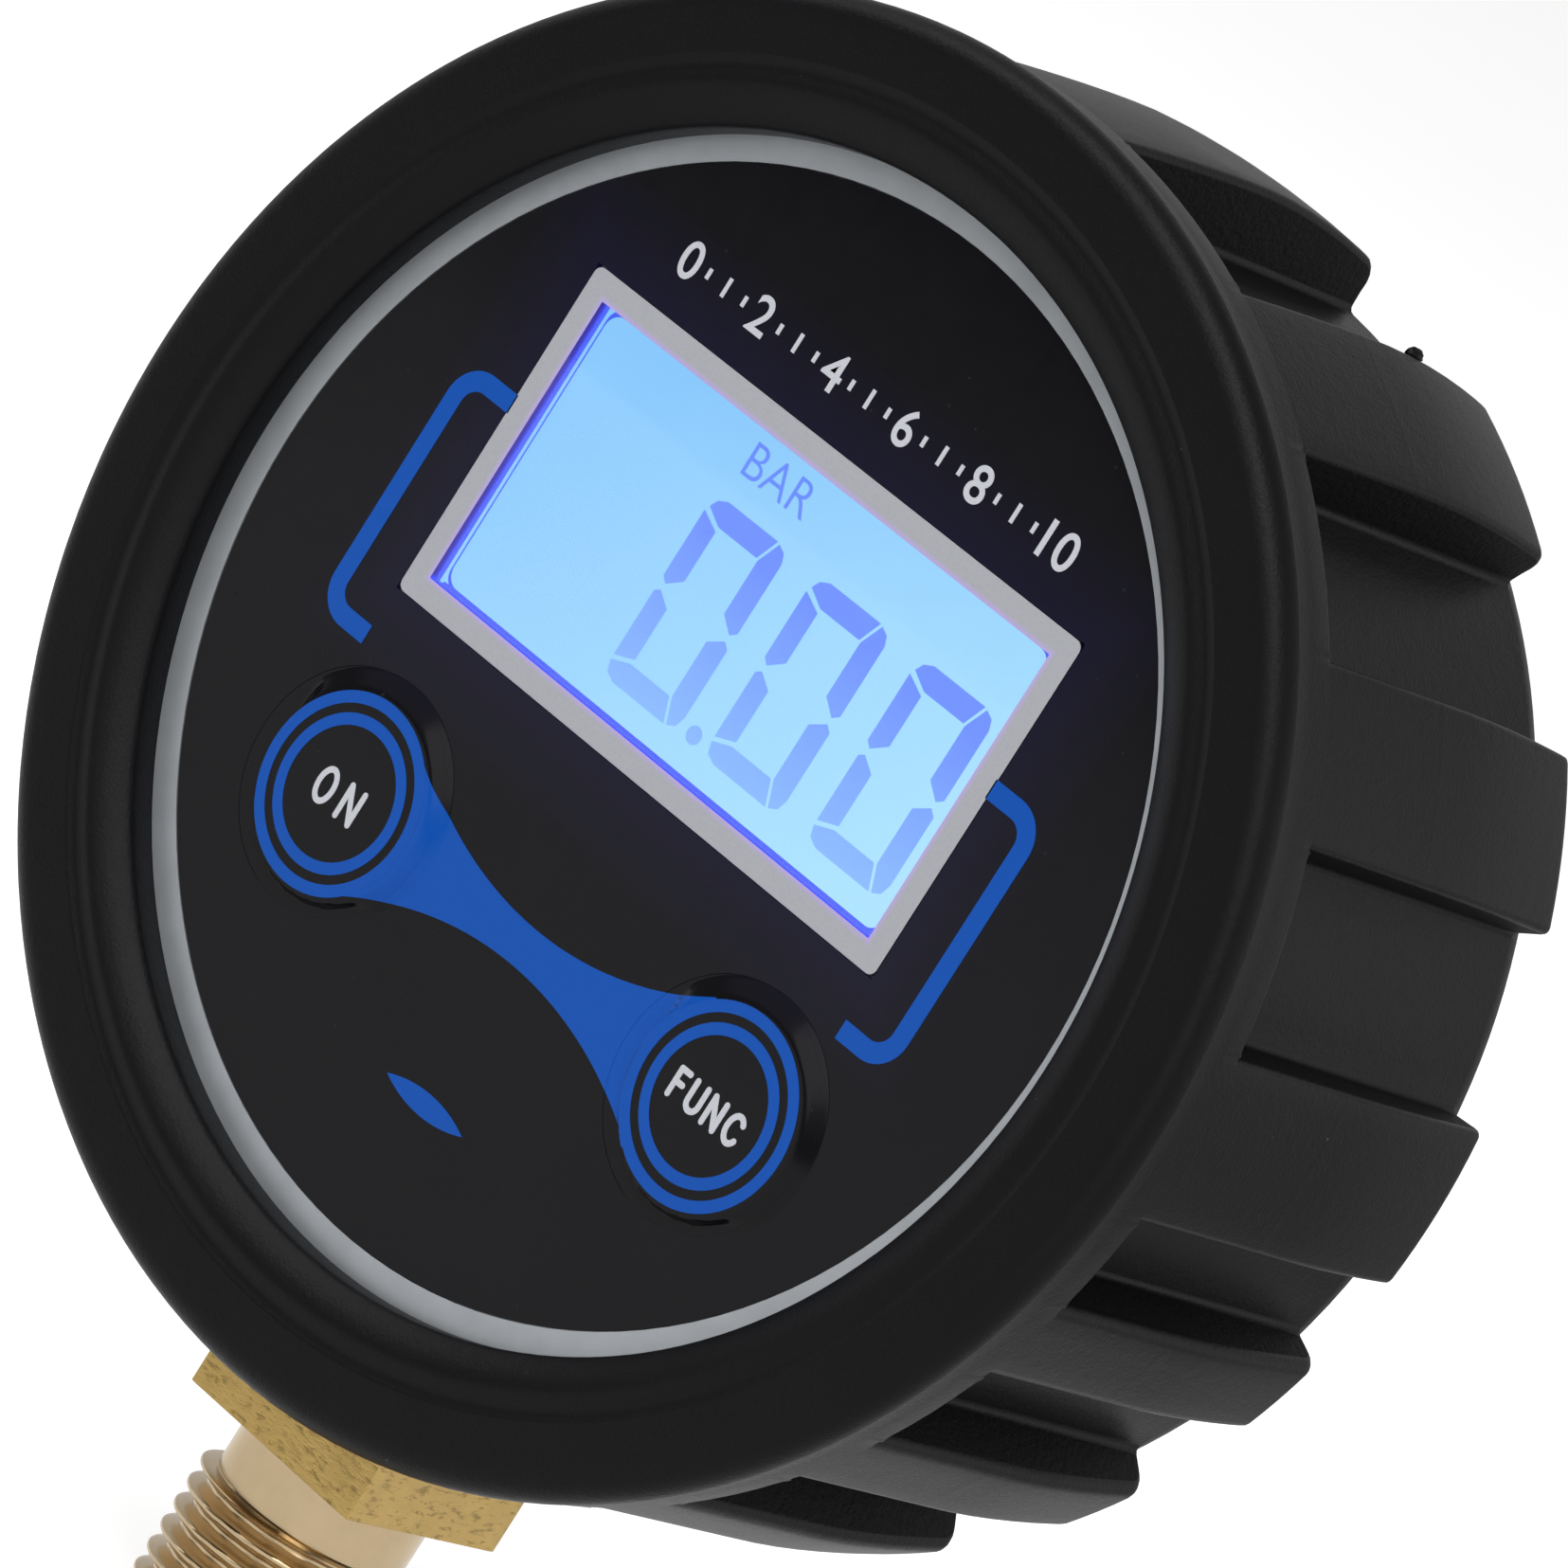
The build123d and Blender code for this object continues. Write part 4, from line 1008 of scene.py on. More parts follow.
def thread_radius(stem, angle, height):
    """Radius of the thread, a rounded ridge that winds up to the right."""
    crest = (stem.neck_radius + stem.thread_depth) / MM + 0.02
    root = crest - stem.thread_depth / MM
    turn = ((height + THREAD_START) / (stem.thread_pitch / MM) - angle / math.tau) % 1.0
    ridge = smooth_step((1 - abs(2 * turn - 1) - 0.08) / 0.84)
    run_out = smooth_step((0.12 - height) / 0.3)
    radius = root + (crest - root) * ridge * run_out + 0.08 * (1 - run_out)
    return min(radius, root - 0.25 + (height - THREAD_LOW) * 1.1)


def square_radius(stem, angle):
    """Radius of the square, with its corners just broken."""
    flat = stem.square / MM / 2
    within = (angle + math.pi / 4) % (math.pi / 2) - math.pi / 4
    return min(flat / math.cos(within), flat * math.sqrt(2) - 0.06)


def stem_skin(stem):
    """The stem as a closed skin: port, thread, neck, square, collar, spigot and sensor pocket."""
    steps = 240
    neck = stem.neck_radius / MM
    angles = [math.pi / 4 + math.tau * i / steps for i in range(steps)]
    rows = []

    def ring(radius, height, finish):
        """A round row of the skin."""
        rows.append(([radius] * steps, height, finish))

    top = (stem_high.z - STEM.z) / MM
    ring(PORT_RADIUS, top - POCKET_DEPTH, 1)
    ring(PORT_RADIUS, THREAD_LOW + PORT_CHAMFER, 1)
    ring(PORT_RADIUS + PORT_CHAMFER, THREAD_LOW, 1)
    ring(neck - 0.5, THREAD_LOW, 1)
    for i in range(THREAD_ROWS):
        height = THREAD_LOW + 0.02 + (-0.02 - THREAD_LOW) * i / THREAD_ROWS
        rows.append(([thread_radius(stem, a, height) for a in angles], height, 1))
    for radius, height in ((neck + 0.06, 0.0), (neck, 0.08), (neck, 1.0), (neck, 2.2)):
        ring(radius, height, 1)
    ring(neck, SQUARE_LOW - 0.12, 1)
    ring(neck + 0.12, SQUARE_LOW, 0)
    sides = [square_radius(stem, a) for a in angles]
    for share, height in ((0.96, SQUARE_LOW), (0.995, SQUARE_LOW), (1.0, SQUARE_LOW + 0.04)):
        rows.append(([r * share for r in sides], height, 0))
    for i in range(1, 8):
        rows.append((sides, SQUARE_LOW + (SQUARE_HIGH - SQUARE_LOW) * i / 8, 0))
    for share, height in ((1.0, SQUARE_HIGH - 0.04), (0.995, SQUARE_HIGH)):
        rows.append(([r * share for r in sides], height, 0))
    collar = (
        (6.4, SQUARE_HIGH), (COLLAR_RADIUS - COLLAR_ROUND, SQUARE_HIGH),
        (COLLAR_RADIUS, SQUARE_HIGH + COLLAR_ROUND), (COLLAR_RADIUS, COLLAR_HIGH - COLLAR_ROUND),
        (COLLAR_RADIUS - COLLAR_ROUND, COLLAR_HIGH), (SPIGOT_RADIUS, COLLAR_HIGH),
    )
    spigot = (
        (SPIGOT_RADIUS, CIRCLIP_LOW), (CIRCLIP_ROOT, CIRCLIP_LOW),
        (CIRCLIP_ROOT, CIRCLIP_HIGH), (SPIGOT_RADIUS, CIRCLIP_HIGH),
        (SPIGOT_RADIUS, top - 0.3), (SPIGOT_RADIUS - 0.3, top), (POCKET_RADIUS + 0.2, top),
        (POCKET_RADIUS, top - 0.2), (POCKET_RADIUS, top - POCKET_DEPTH),
    )
    for radius, height in collar + spigot:
        ring(radius, height, 1)
    points, finishes = [], []
    for radii, height, finish in rows:
        points += [on_stem(r, a, height) for r, a in zip(radii, angles)]
        finishes += [finish] * steps
    faces = [tuple(reversed(f)) for f in wrapped_faces(len(rows), steps, close_rows=True)]
    shape = Shape()
    shape.add(points, faces, finishes)
    return shape


class GAUGE_OT_stem(bpy.types.Operator):
    """Turns the brass stem with its thread, neck and spanner square"""

    bl_idname = "gauge.stem"
    bl_label = "Brass Stem"

    def execute(self, context):
        stem = context.scene.gauge_stem
        finishes = [drawn_brass_finish(stem), turned_brass_finish(stem)]
        skin = stem_skin(stem)
        skin.make("brass_stem_turned", finishes, "gauge", "brass", ["brass_stem"], 28)
        return {"FINISHED"}


# ------------------------------------------------------------------ case, overlay and pane
RIM_INNER, RIM_OUTER = 30.03, 31.56


class GAUGE_OT_case(bpy.types.Operator):
    """Finishes the silver case, the black overlay and the clear pane"""

    bl_idname = "gauge.case"
    bl_label = "Case, Overlay and Pane"

    def execute(self, context):
        dial = context.scene.gauge_dial
        silver = metal(
            "satin_silver", dial.rim, (1, 1, 1), 0.18, (0.34, 0.46), 0.004, Specular_IOR_Level=0.3
        )
        silver.shader.inputs["Metallic"].default_value = 0.6
        paint("case_body", silver.material)
        rim = Shape()
        facing_rows = ring_rows((0, 0), RIM_INNER, RIM_OUTER, 180)
        print_rows(rim, facing_rows, lambda x, z: 0.0, 0.004, closed=True)
        rim.make("rim_facing", [silver.material], "gauge", "silver_case", (), 40)
        paint("face_overlay", overlay_finish(dial))
        paint("lcd_window", clear_finish("clear_pane", (0.97, 0.98, 1.0)))
        return {"FINISHED"}


# ------------------------------------------------------------------ printed marks
LENS_HALF, LENS_RISE, LENS_PLACE = 3.05, 0.62, -22.1
SCALE_PITCH = 5.6
BRACKET_CORNER = 2.1


def on_face(x, z):
    """The depth of the overlay's flat face."""
    return FACE


def button_centres():
    """The buttons' centres on the dial, in millimetres."""
    centres = {}
    for name in ("on", "func"):
        low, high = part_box(f"button_{name}")
        middle = ((low + high) / 2 - DIAL) / MM
        centres[name] = (middle.x, middle.z)
    return centres


def pane_size():
    """Width, height and centre height of the pane, in millimetres."""
    low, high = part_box("lcd_window")
    return (high.x - low.x) / MM, (high.z - low.z) / MM, ((low.z + high.z) / 2 - DIAL.z) / MM


def bracket_rows(dial, side, pane):
    """Rows of points along a bracket that leaves the window's frame and ends free below it."""
    reach, width = dial.bracket_reach / MM, dial.bracket_width / MM
    top, bottom = dial.bracket_top / MM, dial.bracket_bottom / MM
    outer = BRACKET_CORNER
    x = reach - outer
    inner = outer - width
    rows = []
    for radius in (outer, (outer + inner) / 2, inner):
        path = [(pane[0] / 2 - 0.1, top - outer + radius)]
        path += arc_points((x, top - outer), radius, 90, 0, 10)
        path += arc_points((x, bottom + outer), radius, 0, -90, 10)
        path.append((pane[0] / 2 + 0.05, bottom + outer - radius))
        rows.append([(side * px, pz) for px, pz in path])
    return rows if side > 0 else rows[::-1]


def band_curve(dial, centre, outer):
    """Height of the blue band's edge over its middle line, as a function of the side distance."""
    waist = dial.waist / MM
    half = abs(centre[0])
    bend = (half**2 + waist**2 - outer**2) / (2 * (outer - waist))

    def height(x):
        """The edge's height at one place."""
        return waist + bend - math.sqrt(bend**2 - x**2)

    return height


def solve(function, low, high):
    """The place between low and high where a rising function passes zero."""
    for _ in range(40):
        middle = (low + high) / 2
        if function(middle) < 0:
            low = middle
        else:
            high = middle
    return (low + high) / 2


def band_rows(dial, centre, outer, stop):
    """Rows of points across the blue band between the two buttons' domes."""
    height = band_curve(dial, centre, outer)
    half, level = abs(centre[0]), centre[1]
    rows = []
    for v in range(-6, 7):
        share = v / 6
        end = solve(
            lambda x: stop - math.hypot(half - x, share * height(x)), 0, half - 0.5 * stop
        )
        places = [-end + 2 * end * i / 40 for i in range(41)]
        rows.append([(x, level + share * height(x)) for x in places])
    return rows


def flare_rows(dial, centre, outer, stop):
    """Rows of points where the blue band runs up a button's dome to its outer ring."""
    height = band_curve(dial, centre, outer)
    half, side = abs(centre[0]), math.copysign(1, centre[0])
    rows = []
    for r in range(17):
        radius = outer - 0.3 + (stop - outer + 0.3) * r / 16
        reach = solve(
            lambda a: radius * math.sin(a) - height(half - radius * math.cos(a)), 0, math.radians(57)
        )
        turns = [reach * (i / 12 - 1) for i in range(25)]
        rows.append(
            [
                (centre[0] - side * radius * math.cos(a), centre[1] + radius * math.sin(a))
                for a in turns
            ]
        )
    return rows if side > 0 else [row[::-1] for row in rows]


class GAUGE_OT_prints(bpy.types.Operator):
    """Prints the blue brackets, the band, the lens mark and the scale on the overlay"""

    bl_idname = "gauge.prints"
    bl_label = "Printed Marks"

    def execute(self, context):
        dial = context.scene.gauge_dial
        buttons = context.scene.gauge_buttons
        lift = dial.ink_height / MM
        blue = Shape()
        pane = pane_size()
        for side in (-1, 1):
            print_rows(blue, bracket_rows(dial, side, pane), on_face, lift)
        centre = button_centres()["func"]
        centre = (centre[0], centre[1] - buttons.ring_drop / MM)
        domes = [dome(buttons, place) for place in button_centres().values()]

        def film_depth(x, z):
            """The depth of the film over whichever dome stands higher there."""
            return min(surface(x, z) for surface in domes)

        band = band_rows(dial, centre, buttons.outer_ring / MM, DOME_EDGE + DOME_GAP)
        print_rows(blue, band, film_depth, lift + 0.004)
        bend = (LENS_HALF**2 + LENS_RISE**2) / (2 * LENS_RISE)
        sides = [x / 10 * LENS_HALF for x in range(-10, 11)]
        lens = [(x, math.sqrt(bend**2 - x**2) - bend + LENS_RISE) for x in sides]
        outline = [(x, LENS_PLACE + z) for x, z in lens]
        outline += [(x, LENS_PLACE - z) for x, z in lens[-2:0:-1]]
        print_outline(blue, outline[::-1], FACE, lift)
        blue.make("dial_blue_print", [ink_finish("blue_ink", dial.blue)], "gauge", "black_face", (), 40)

        film = Shape()
        shift = buttons.dome_shift / MM
        for place, surface in zip(button_centres().values(), domes):
            inner = circle(place, DOME_EDGE + DOME_GAP)
            outer = circle((place[0] + shift, place[1]), FOOT)
            rows = []
            for t in (0.0, 0.25, 0.5, 0.75, 0.88, 0.94, 1.0):
                row = []
                for near, far in zip(inner, outer):
                    reach = math.hypot(far[0] - place[0], far[1] - place[1])
                    scale = max(1.0, (DOME_EDGE + 0.02) / reach)
                    x = place[0] + (far[0] - place[0]) * scale
                    z = place[1] + (far[1] - place[1]) * scale
                    row.append((near[0] + (x - near[0]) * t, near[1] + (z - near[1]) * t))
                rows.append(row)
            print_rows(film, rows, surface, 0.002, True)
        film.make("dome_foot_film", [overlay_finish(dial)], "gauge", "black_face", (), 40)

        silver = Shape()
        height = dial.scale_height / MM
        size = dial.numeral_size / MM
        for index in range(6):
            x = (index - 2.5) * SCALE_PITCH
            shift = 0.5 if index == 5 else 0.0
            lettering(silver, str(index * 2), (x + shift, height), size, FACE, lift, 0.012)
            if index < 5:
                for tick in range(1, 4):
                    place = x + SCALE_PITCH * tick / 4
                    tall = 0.55 if tick == 2 else 0.3
                    loop = [
                        (place - 0.13, height - tall), (place + 0.13, height - tall),
                        (place + 0.13, height + tall), (place - 0.13, height + tall),
                    ]
                    print_outline(silver, loop, FACE, lift)
        silver.make(
            "dial_scale_print", [ink_finish("silver_ink", dial.silver)], "gauge", "black_face", (), 40
        )
        return {"FINISHED"}


# ------------------------------------------------------------------ display
# The outlines of a zero's six segments, and the places that the digits start from, in millimetres.
ZERO = (
    ((0.15, 10.24), (0.42, 10.72), (1.02, 10.99), (4.92, 10.99), (4.32, 9.64), (1.32, 9.64)),
    ((0.0, 9.94), (1.32, 9.37), (1.32, 6.37), (0.38, 5.67), (0.0, 5.97)),
    ((5.1, 10.92), (5.62, 10.68), (5.85, 10.17), (5.85, 5.97), (5.44, 5.67), (4.47, 6.37), (4.47, 9.57)),
    ((0.34, 5.29), (1.32, 4.69), (1.32, 1.62), (0.0, 1.17), (0.0, 5.07)),
    ((0.0, 0.9), (0.22, 0.28), (0.87, 0.0), (4.92, 0.0), (4.29, 1.32), (1.24, 1.32)),
    ((5.44, 5.29), (5.85, 4.99), (5.85, 0.94), (5.63, 0.3), (5.1, 0.04), (4.47, 1.39), (4.47, 4.69)),
)
ZERO_WIDTH, ZERO_HEIGHT = 5.85, 11.03
DIGIT_LEFT, DIGIT_FOOT = -5.6, 0.87
POINT_PLACE, POINT_RADIUS = (1.3, 1.41), 0.51
UNIT_PLACE, UNIT_HEIGHT = (-2.57, 14.35), 1.89


def facing(outline):
    """The outline in the turning sense that faces its plate to the front."""
    area = sum(
        a[0] * b[1] - b[0] * a[1] for a, b in zip(outline, outline[1:] + outline[:1])
    )
    return list(outline) if area > 0 else list(outline)[::-1]


class GAUGE_OT_display(bpy.types.Operator):
    """Lights the display: backlight, digits, unit, edge glow, a liner on the window's walls with painted
    display light, and silver border
    """

    bl_idname = "gauge.display"
    bl_label = "Display"

    def execute(self, context):
        display, dial = context.scene.gauge_display, context.scene.gauge_dial
        paint("lcd_glass", lit_slope("lcd_backlight", display.sky, display.pale, -14, 40, True))
        lcd_low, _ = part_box("lcd_glass")
        glass = (lcd_low.y - DIAL.y) / MM
        width, height, middle = pane_size()
        border = display.border / MM
        opening = (width - 2 * border, height - 2 * border)

        digits = Shape()
        scale = (display.digit_width / MM / ZERO_WIDTH, display.digit_height / MM / ZERO_HEIGHT)
        for index in range(3):
            left = DIGIT_LEFT + index * display.digit_pitch / MM
            for segment in ZERO:
                outline = [(left + x * scale[0], DIGIT_FOOT + z * scale[1]) for x, z in segment]
                print_outline(digits, facing(outline), glass, 0.015)
        print_outline(digits, arc_points(POINT_PLACE, POINT_RADIUS, 0, 348, 29), glass, 0.015)
        lettering(digits, "BAR", UNIT_PLACE, UNIT_HEIGHT, glass, 0.015, -0.008, 0.98)
        ink = lit_slope("lcd_segments", display.digit, display.digit_low, 0.5, 10, False)
        digits.make("lcd_digits", [ink], "gauge", "lcd_glass")

        edges = Shape()
        left, right = -opening[0] / 2, opening[0] / 2
        bottom = middle - opening[1] / 2
        inside = [
            (x * (1 - 0.62 / opening[0]), z)
            for x, z in rounded_loop(opening[0], opening[1] - 0.36, middle + 0.02, 0.9, 8)
        ]
        line = [
            (x - 0.085 if x < 0 else x + 0.3, z - 0.18 if z < middle else z + 0.3) for x, z in inside
        ]
        print_rows(edges, [inside, line], lambda x, z: glass, 0.012, closed=True)
        foot_band = [
            [(left - 0.1, bottom - 0.3), (right + 0.3, bottom - 0.3)],
            [(left + 0.34, bottom + 0.16), (right + 0.3, bottom + 0.16)],
        ]
        print_rows(edges, foot_band, lambda x, z: glass, 0.01)
        edge_light = glowing("edge_light", display.edge, 1.0)
        edges.make("lcd_edge_glow", [edge_light.material], "gauge", "lcd_glass")

        frame_print = Shape()
        loops = [
            rounded_loop(width - 0.02, height - 0.02, middle, 0.5),
            rounded_loop(width - border, height - border, middle, 0.3),
            rounded_loop(*opening, middle, 0.06),
        ]
        lift = dial.ink_height / MM
        print_rows(frame_print, loops[::-1], on_face, lift, closed=True)
        finish = border_finish(dial, opening[0] / 2, opening[1] / 2, middle)
        frame_print.make("window_border_print", [finish], "gauge", "clear_window")

        # A thin sheet over the window's walls, with a brim in front of the case, that glows with painted
        # light from the display.
        liner = Shape()
        hole = rounded_loop(*opening, middle, 0.05, 2)
        inner = rounded_loop(opening[0] - 0.04, opening[1] - 0.04, middle, 0.05, 2)
        brim = rounded_loop(opening[0] + 0.9, opening[1] + 0.9, middle, 0.5, 2)
        pane_back = (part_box("lcd_window")[1].y - DIAL.y) / MM
        rings = (
            (brim, pane_back - 0.012), (inner, pane_back - 0.012), (inner, glass - 0.02),
            (hole, glass - 0.02), (hole, pane_back - 0.004), (brim, pane_back - 0.004),
        )
        points = [on_dial(x, z, d) for loop, d in rings for x, z in loop]
        faces = [tuple(reversed(f)) for f in wrapped_faces(len(rings), len(hole), close_rows=True)]
        liner.add(points, faces)
        finish = painted_wall_light_finish(display, glass, DIAL.z + bottom * MM)
        liner.make("window_wall_light_sheet", [finish], "gauge", "black_plastic")
        return {"FINISHED"}


# ------------------------------------------------------------------ push buttons
# DOME_EDGE is the radius at which a button parts from the overlay, with DOME_GAP beyond it. FOOT is the
# radius of the dome's own foot. Towards NEAR_SIDE, the lower left, the foot lies further in and the slope
# is steeper.
DOME_EDGE, DOME_GAP = 6.6, 0.006
FOOT, NEAR_FOOT, NEAR_SLOPE = 6.74, 5.9, 0.27
NEAR_SIDE = math.radians(235)
POST_RADIUS, POST_LENGTH, FLANGE_THICKNESS = 1.8, 0.4, 0.8
RING_WIDTH = 0.65


def dome_profile(t):
    """Rise of the dome from 0 at its foot to 1 at its crown: a crisp foot and a rounded shoulder."""
    t = min(max(t, 0.0), 1.0)
    if t < 0.05:
        rise = t * t / 0.1
    elif t < 0.6:
        rise = 0.025 + t - 0.05
    else:
        part = (t - 0.6) / 0.4
        rise = 0.575 + 0.4 * (part - part**3 + part**4 / 2)
    return rise / 0.775


def dome(buttons, centre):
    """The depth of the film's surface over and round one button's dome."""
    rise, slope = buttons.crown_rise / MM + FACE, buttons.slope / MM
    shift = buttons.dome_shift / MM

    def depth(x, z):
        """The surface's depth at a dial point."""
        side, level = x - centre[0] - shift, z - centre[1]
        steep = smooth_step((math.cos(math.atan2(level, side) - NEAR_SIDE) + 0.1) / 0.36)
        foot, width = FOOT + steep * (NEAR_FOOT - FOOT), slope + steep * (NEAR_SLOPE - slope)
        inside = foot - math.hypot(side, level)
        crown = 0.04 * smooth_step((inside - 0.8 * width) / 4)
        return FACE - rise * dome_profile(inside / width) - crown

    return depth


class GAUGE_OT_buttons(bpy.types.Operator):
    """Raises the two push buttons with their rings and labels"""

    bl_idname = "gauge.buttons"
    bl_label = "Push Buttons"

    def execute(self, context):
        buttons, dial = context.scene.gauge_buttons, context.scene.gauge_dial
        lift = dial.ink_height / MM
        outer = buttons.outer_ring / MM
        inner = buttons.inner_ring / MM
        black = overlay_finish(dial)
        blue = ink_finish("button_blue", dial.blue)
        silver = ink_finish("button_silver", dial.silver)
        for name, centre in button_centres().items():
            surface = dome(buttons, centre)
            node = f"button_{name}"
            low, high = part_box(node)
            back = (high.y - DIAL.y) / MM
            profile = [(0.0, surface(*centre))]
            for i in range(1, 81):
                radius = DOME_EDGE * i / 80
                profile.append((radius, surface(centre[0] + radius, centre[1])))
            flange = (high.x - low.x) / 2 / MM
            flange_front, flange_back = back - POST_LENGTH - FLANGE_THICKNESS, back - POST_LENGTH
            profile += [(DOME_EDGE, flange_front), (flange, flange_front), (flange, flange_back)]
            profile += [(POST_RADIUS, flange_back), (POST_RADIUS, back), (0.0, back)]
            body = Shape()
            lathe(body, profile, centre, 96)
            for index, (x, y, z) in enumerate(body.points):
                place = ((x - DIAL.x) / MM, (z - DIAL.z) / MM)
                if (y - DIAL.y) / MM < 0.1:
                    body.points[index] = on_dial(*place, surface(*place))
            body.make(f"{node}_dome", [black], node, "black_face", [node], 40)

            rings = Shape()
            low_centre = (centre[0] + buttons.ring_shift / MM, centre[1] - buttons.ring_drop / MM)
            flare = flare_rows(dial, (centre[0], low_centre[1]), outer, DOME_EDGE - 0.004)
            print_rows(rings, ring_rows(low_centre, inner, inner + RING_WIDTH), surface, lift, True)
            print_rows(rings, ring_rows(low_centre, outer - 0.66, outer), surface, lift, True)
            print_rows(rings, flare, surface, 0.6 * lift)
            rings.make(f"{node}_rings", [blue], node, "black_face", (), 40)

            label = Shape()
            cap, gap = {"on": (2.15, 0.95), "func": (1.84, 0.6)}[name]
            middle = (centre[0] + 0.2, centre[1] - 0.15)
            top = surface(*centre) + 0.03
            pen_words(label, name.upper(), middle, cap, gap, 0.34, top, 0.05)
            label.make(f"{node}_label", [silver], node, "black_face", (), 40)
        return {"FINISHED"}


# ------------------------------------------------------------------ rear and inside
def board_finish():
    """Green solder mask with copper tracks under it."""
    made = Finish("board_green", srgb(22, 92, 52), Specular_IOR_Level=0.5)
    brick = made.node("ShaderNodeTexBrick")
    brick.inputs["Scale"].default_value = 420
    brick.inputs["Mortar Size"].default_value = 0.012
    brick.inputs["Color1"].default_value = (*srgb(20, 86, 48), 1)
    brick.inputs["Color2"].default_value = (*srgb(24, 98, 56), 1)
    brick.inputs["Mortar"].default_value = (*srgb(46, 128, 78), 1)
    turn = made.node("ShaderNodeMapping")
    turn.inputs["Rotation"].default_value = (math.pi / 2, 0, 0)
    made.wire(made.place, turn.inputs["Vector"])
    made.wire(turn.outputs["Vector"], brick.inputs["Vector"])
    made.tone(brick.outputs["Color"])
    made.rough(made.noise(1.0), 0.25, 0.4)
    made.bump(brick.outputs["Fac"], 0.01)
    return made.material


def cell_finish():
    """Plain cell jacket: a dark sleeve with a paler end, and a fine brushed print."""
    made = Finish("cell_jacket", srgb(52, 56, 62), Metallic=0.6)
    share = made.math("ABSOLUTE", made.axis("X"))
    band = made.ramp(made.range(share, 0.0, 0.025), [(0.0, 0.0), (0.62, 0.0), (0.66, 1.0)])
    brushed = made.noise(0.25, 3.0, 0.6, (0.1, 1, 1))
    dark = made.mix(brushed, (*srgb(44, 48, 54), 1), (*srgb(62, 66, 72), 1))
    made.tone(made.mix(band, dark, (*srgb(196, 150, 92), 1)))
    made.rough(brushed, 0.28, 0.42)
    made.bump(brushed, 0.003)
    return made.material


class GAUGE_OT_rear(bpy.types.Operator):
    """Finishes the rear cover, the battery door, their screws and seals, and the breather"""

    bl_idname = "gauge.rear"
    bl_label = "Rear Cover and Battery Door"

    def execute(self, context):
        black = moulded("moulded_black", srgb(38, 38, 40), 0.35, 0.02, (0.46, 0.58))
        door = moulded("moulded_door", srgb(34, 34, 36), 0.3, 0.02, (0.42, 0.54))
        steel = metal("plated_screws", srgb(188, 186, 180), (1, 1, 1), 0.25, (0.24, 0.4), 0.004)
        seal = moulded("seal_rubber", srgb(26, 26, 27), 0.3, 0.01, (0.6, 0.75))
        vent = moulded("breather_rubber", srgb(30, 30, 31), 0.25, 0.01, (0.55, 0.7))
        for nodes, finish in (
            (("rear_cover",), black),
            (("battery_door",), door),
            (("rear_cover_screws", "battery_door_screws"), steel),
            (("rear_cover_seal", "battery_door_seal"), seal),
            (("breather_plug",), vent),
        ):
            for node in nodes:
                paint(node, finish.material)
        return {"FINISHED"}


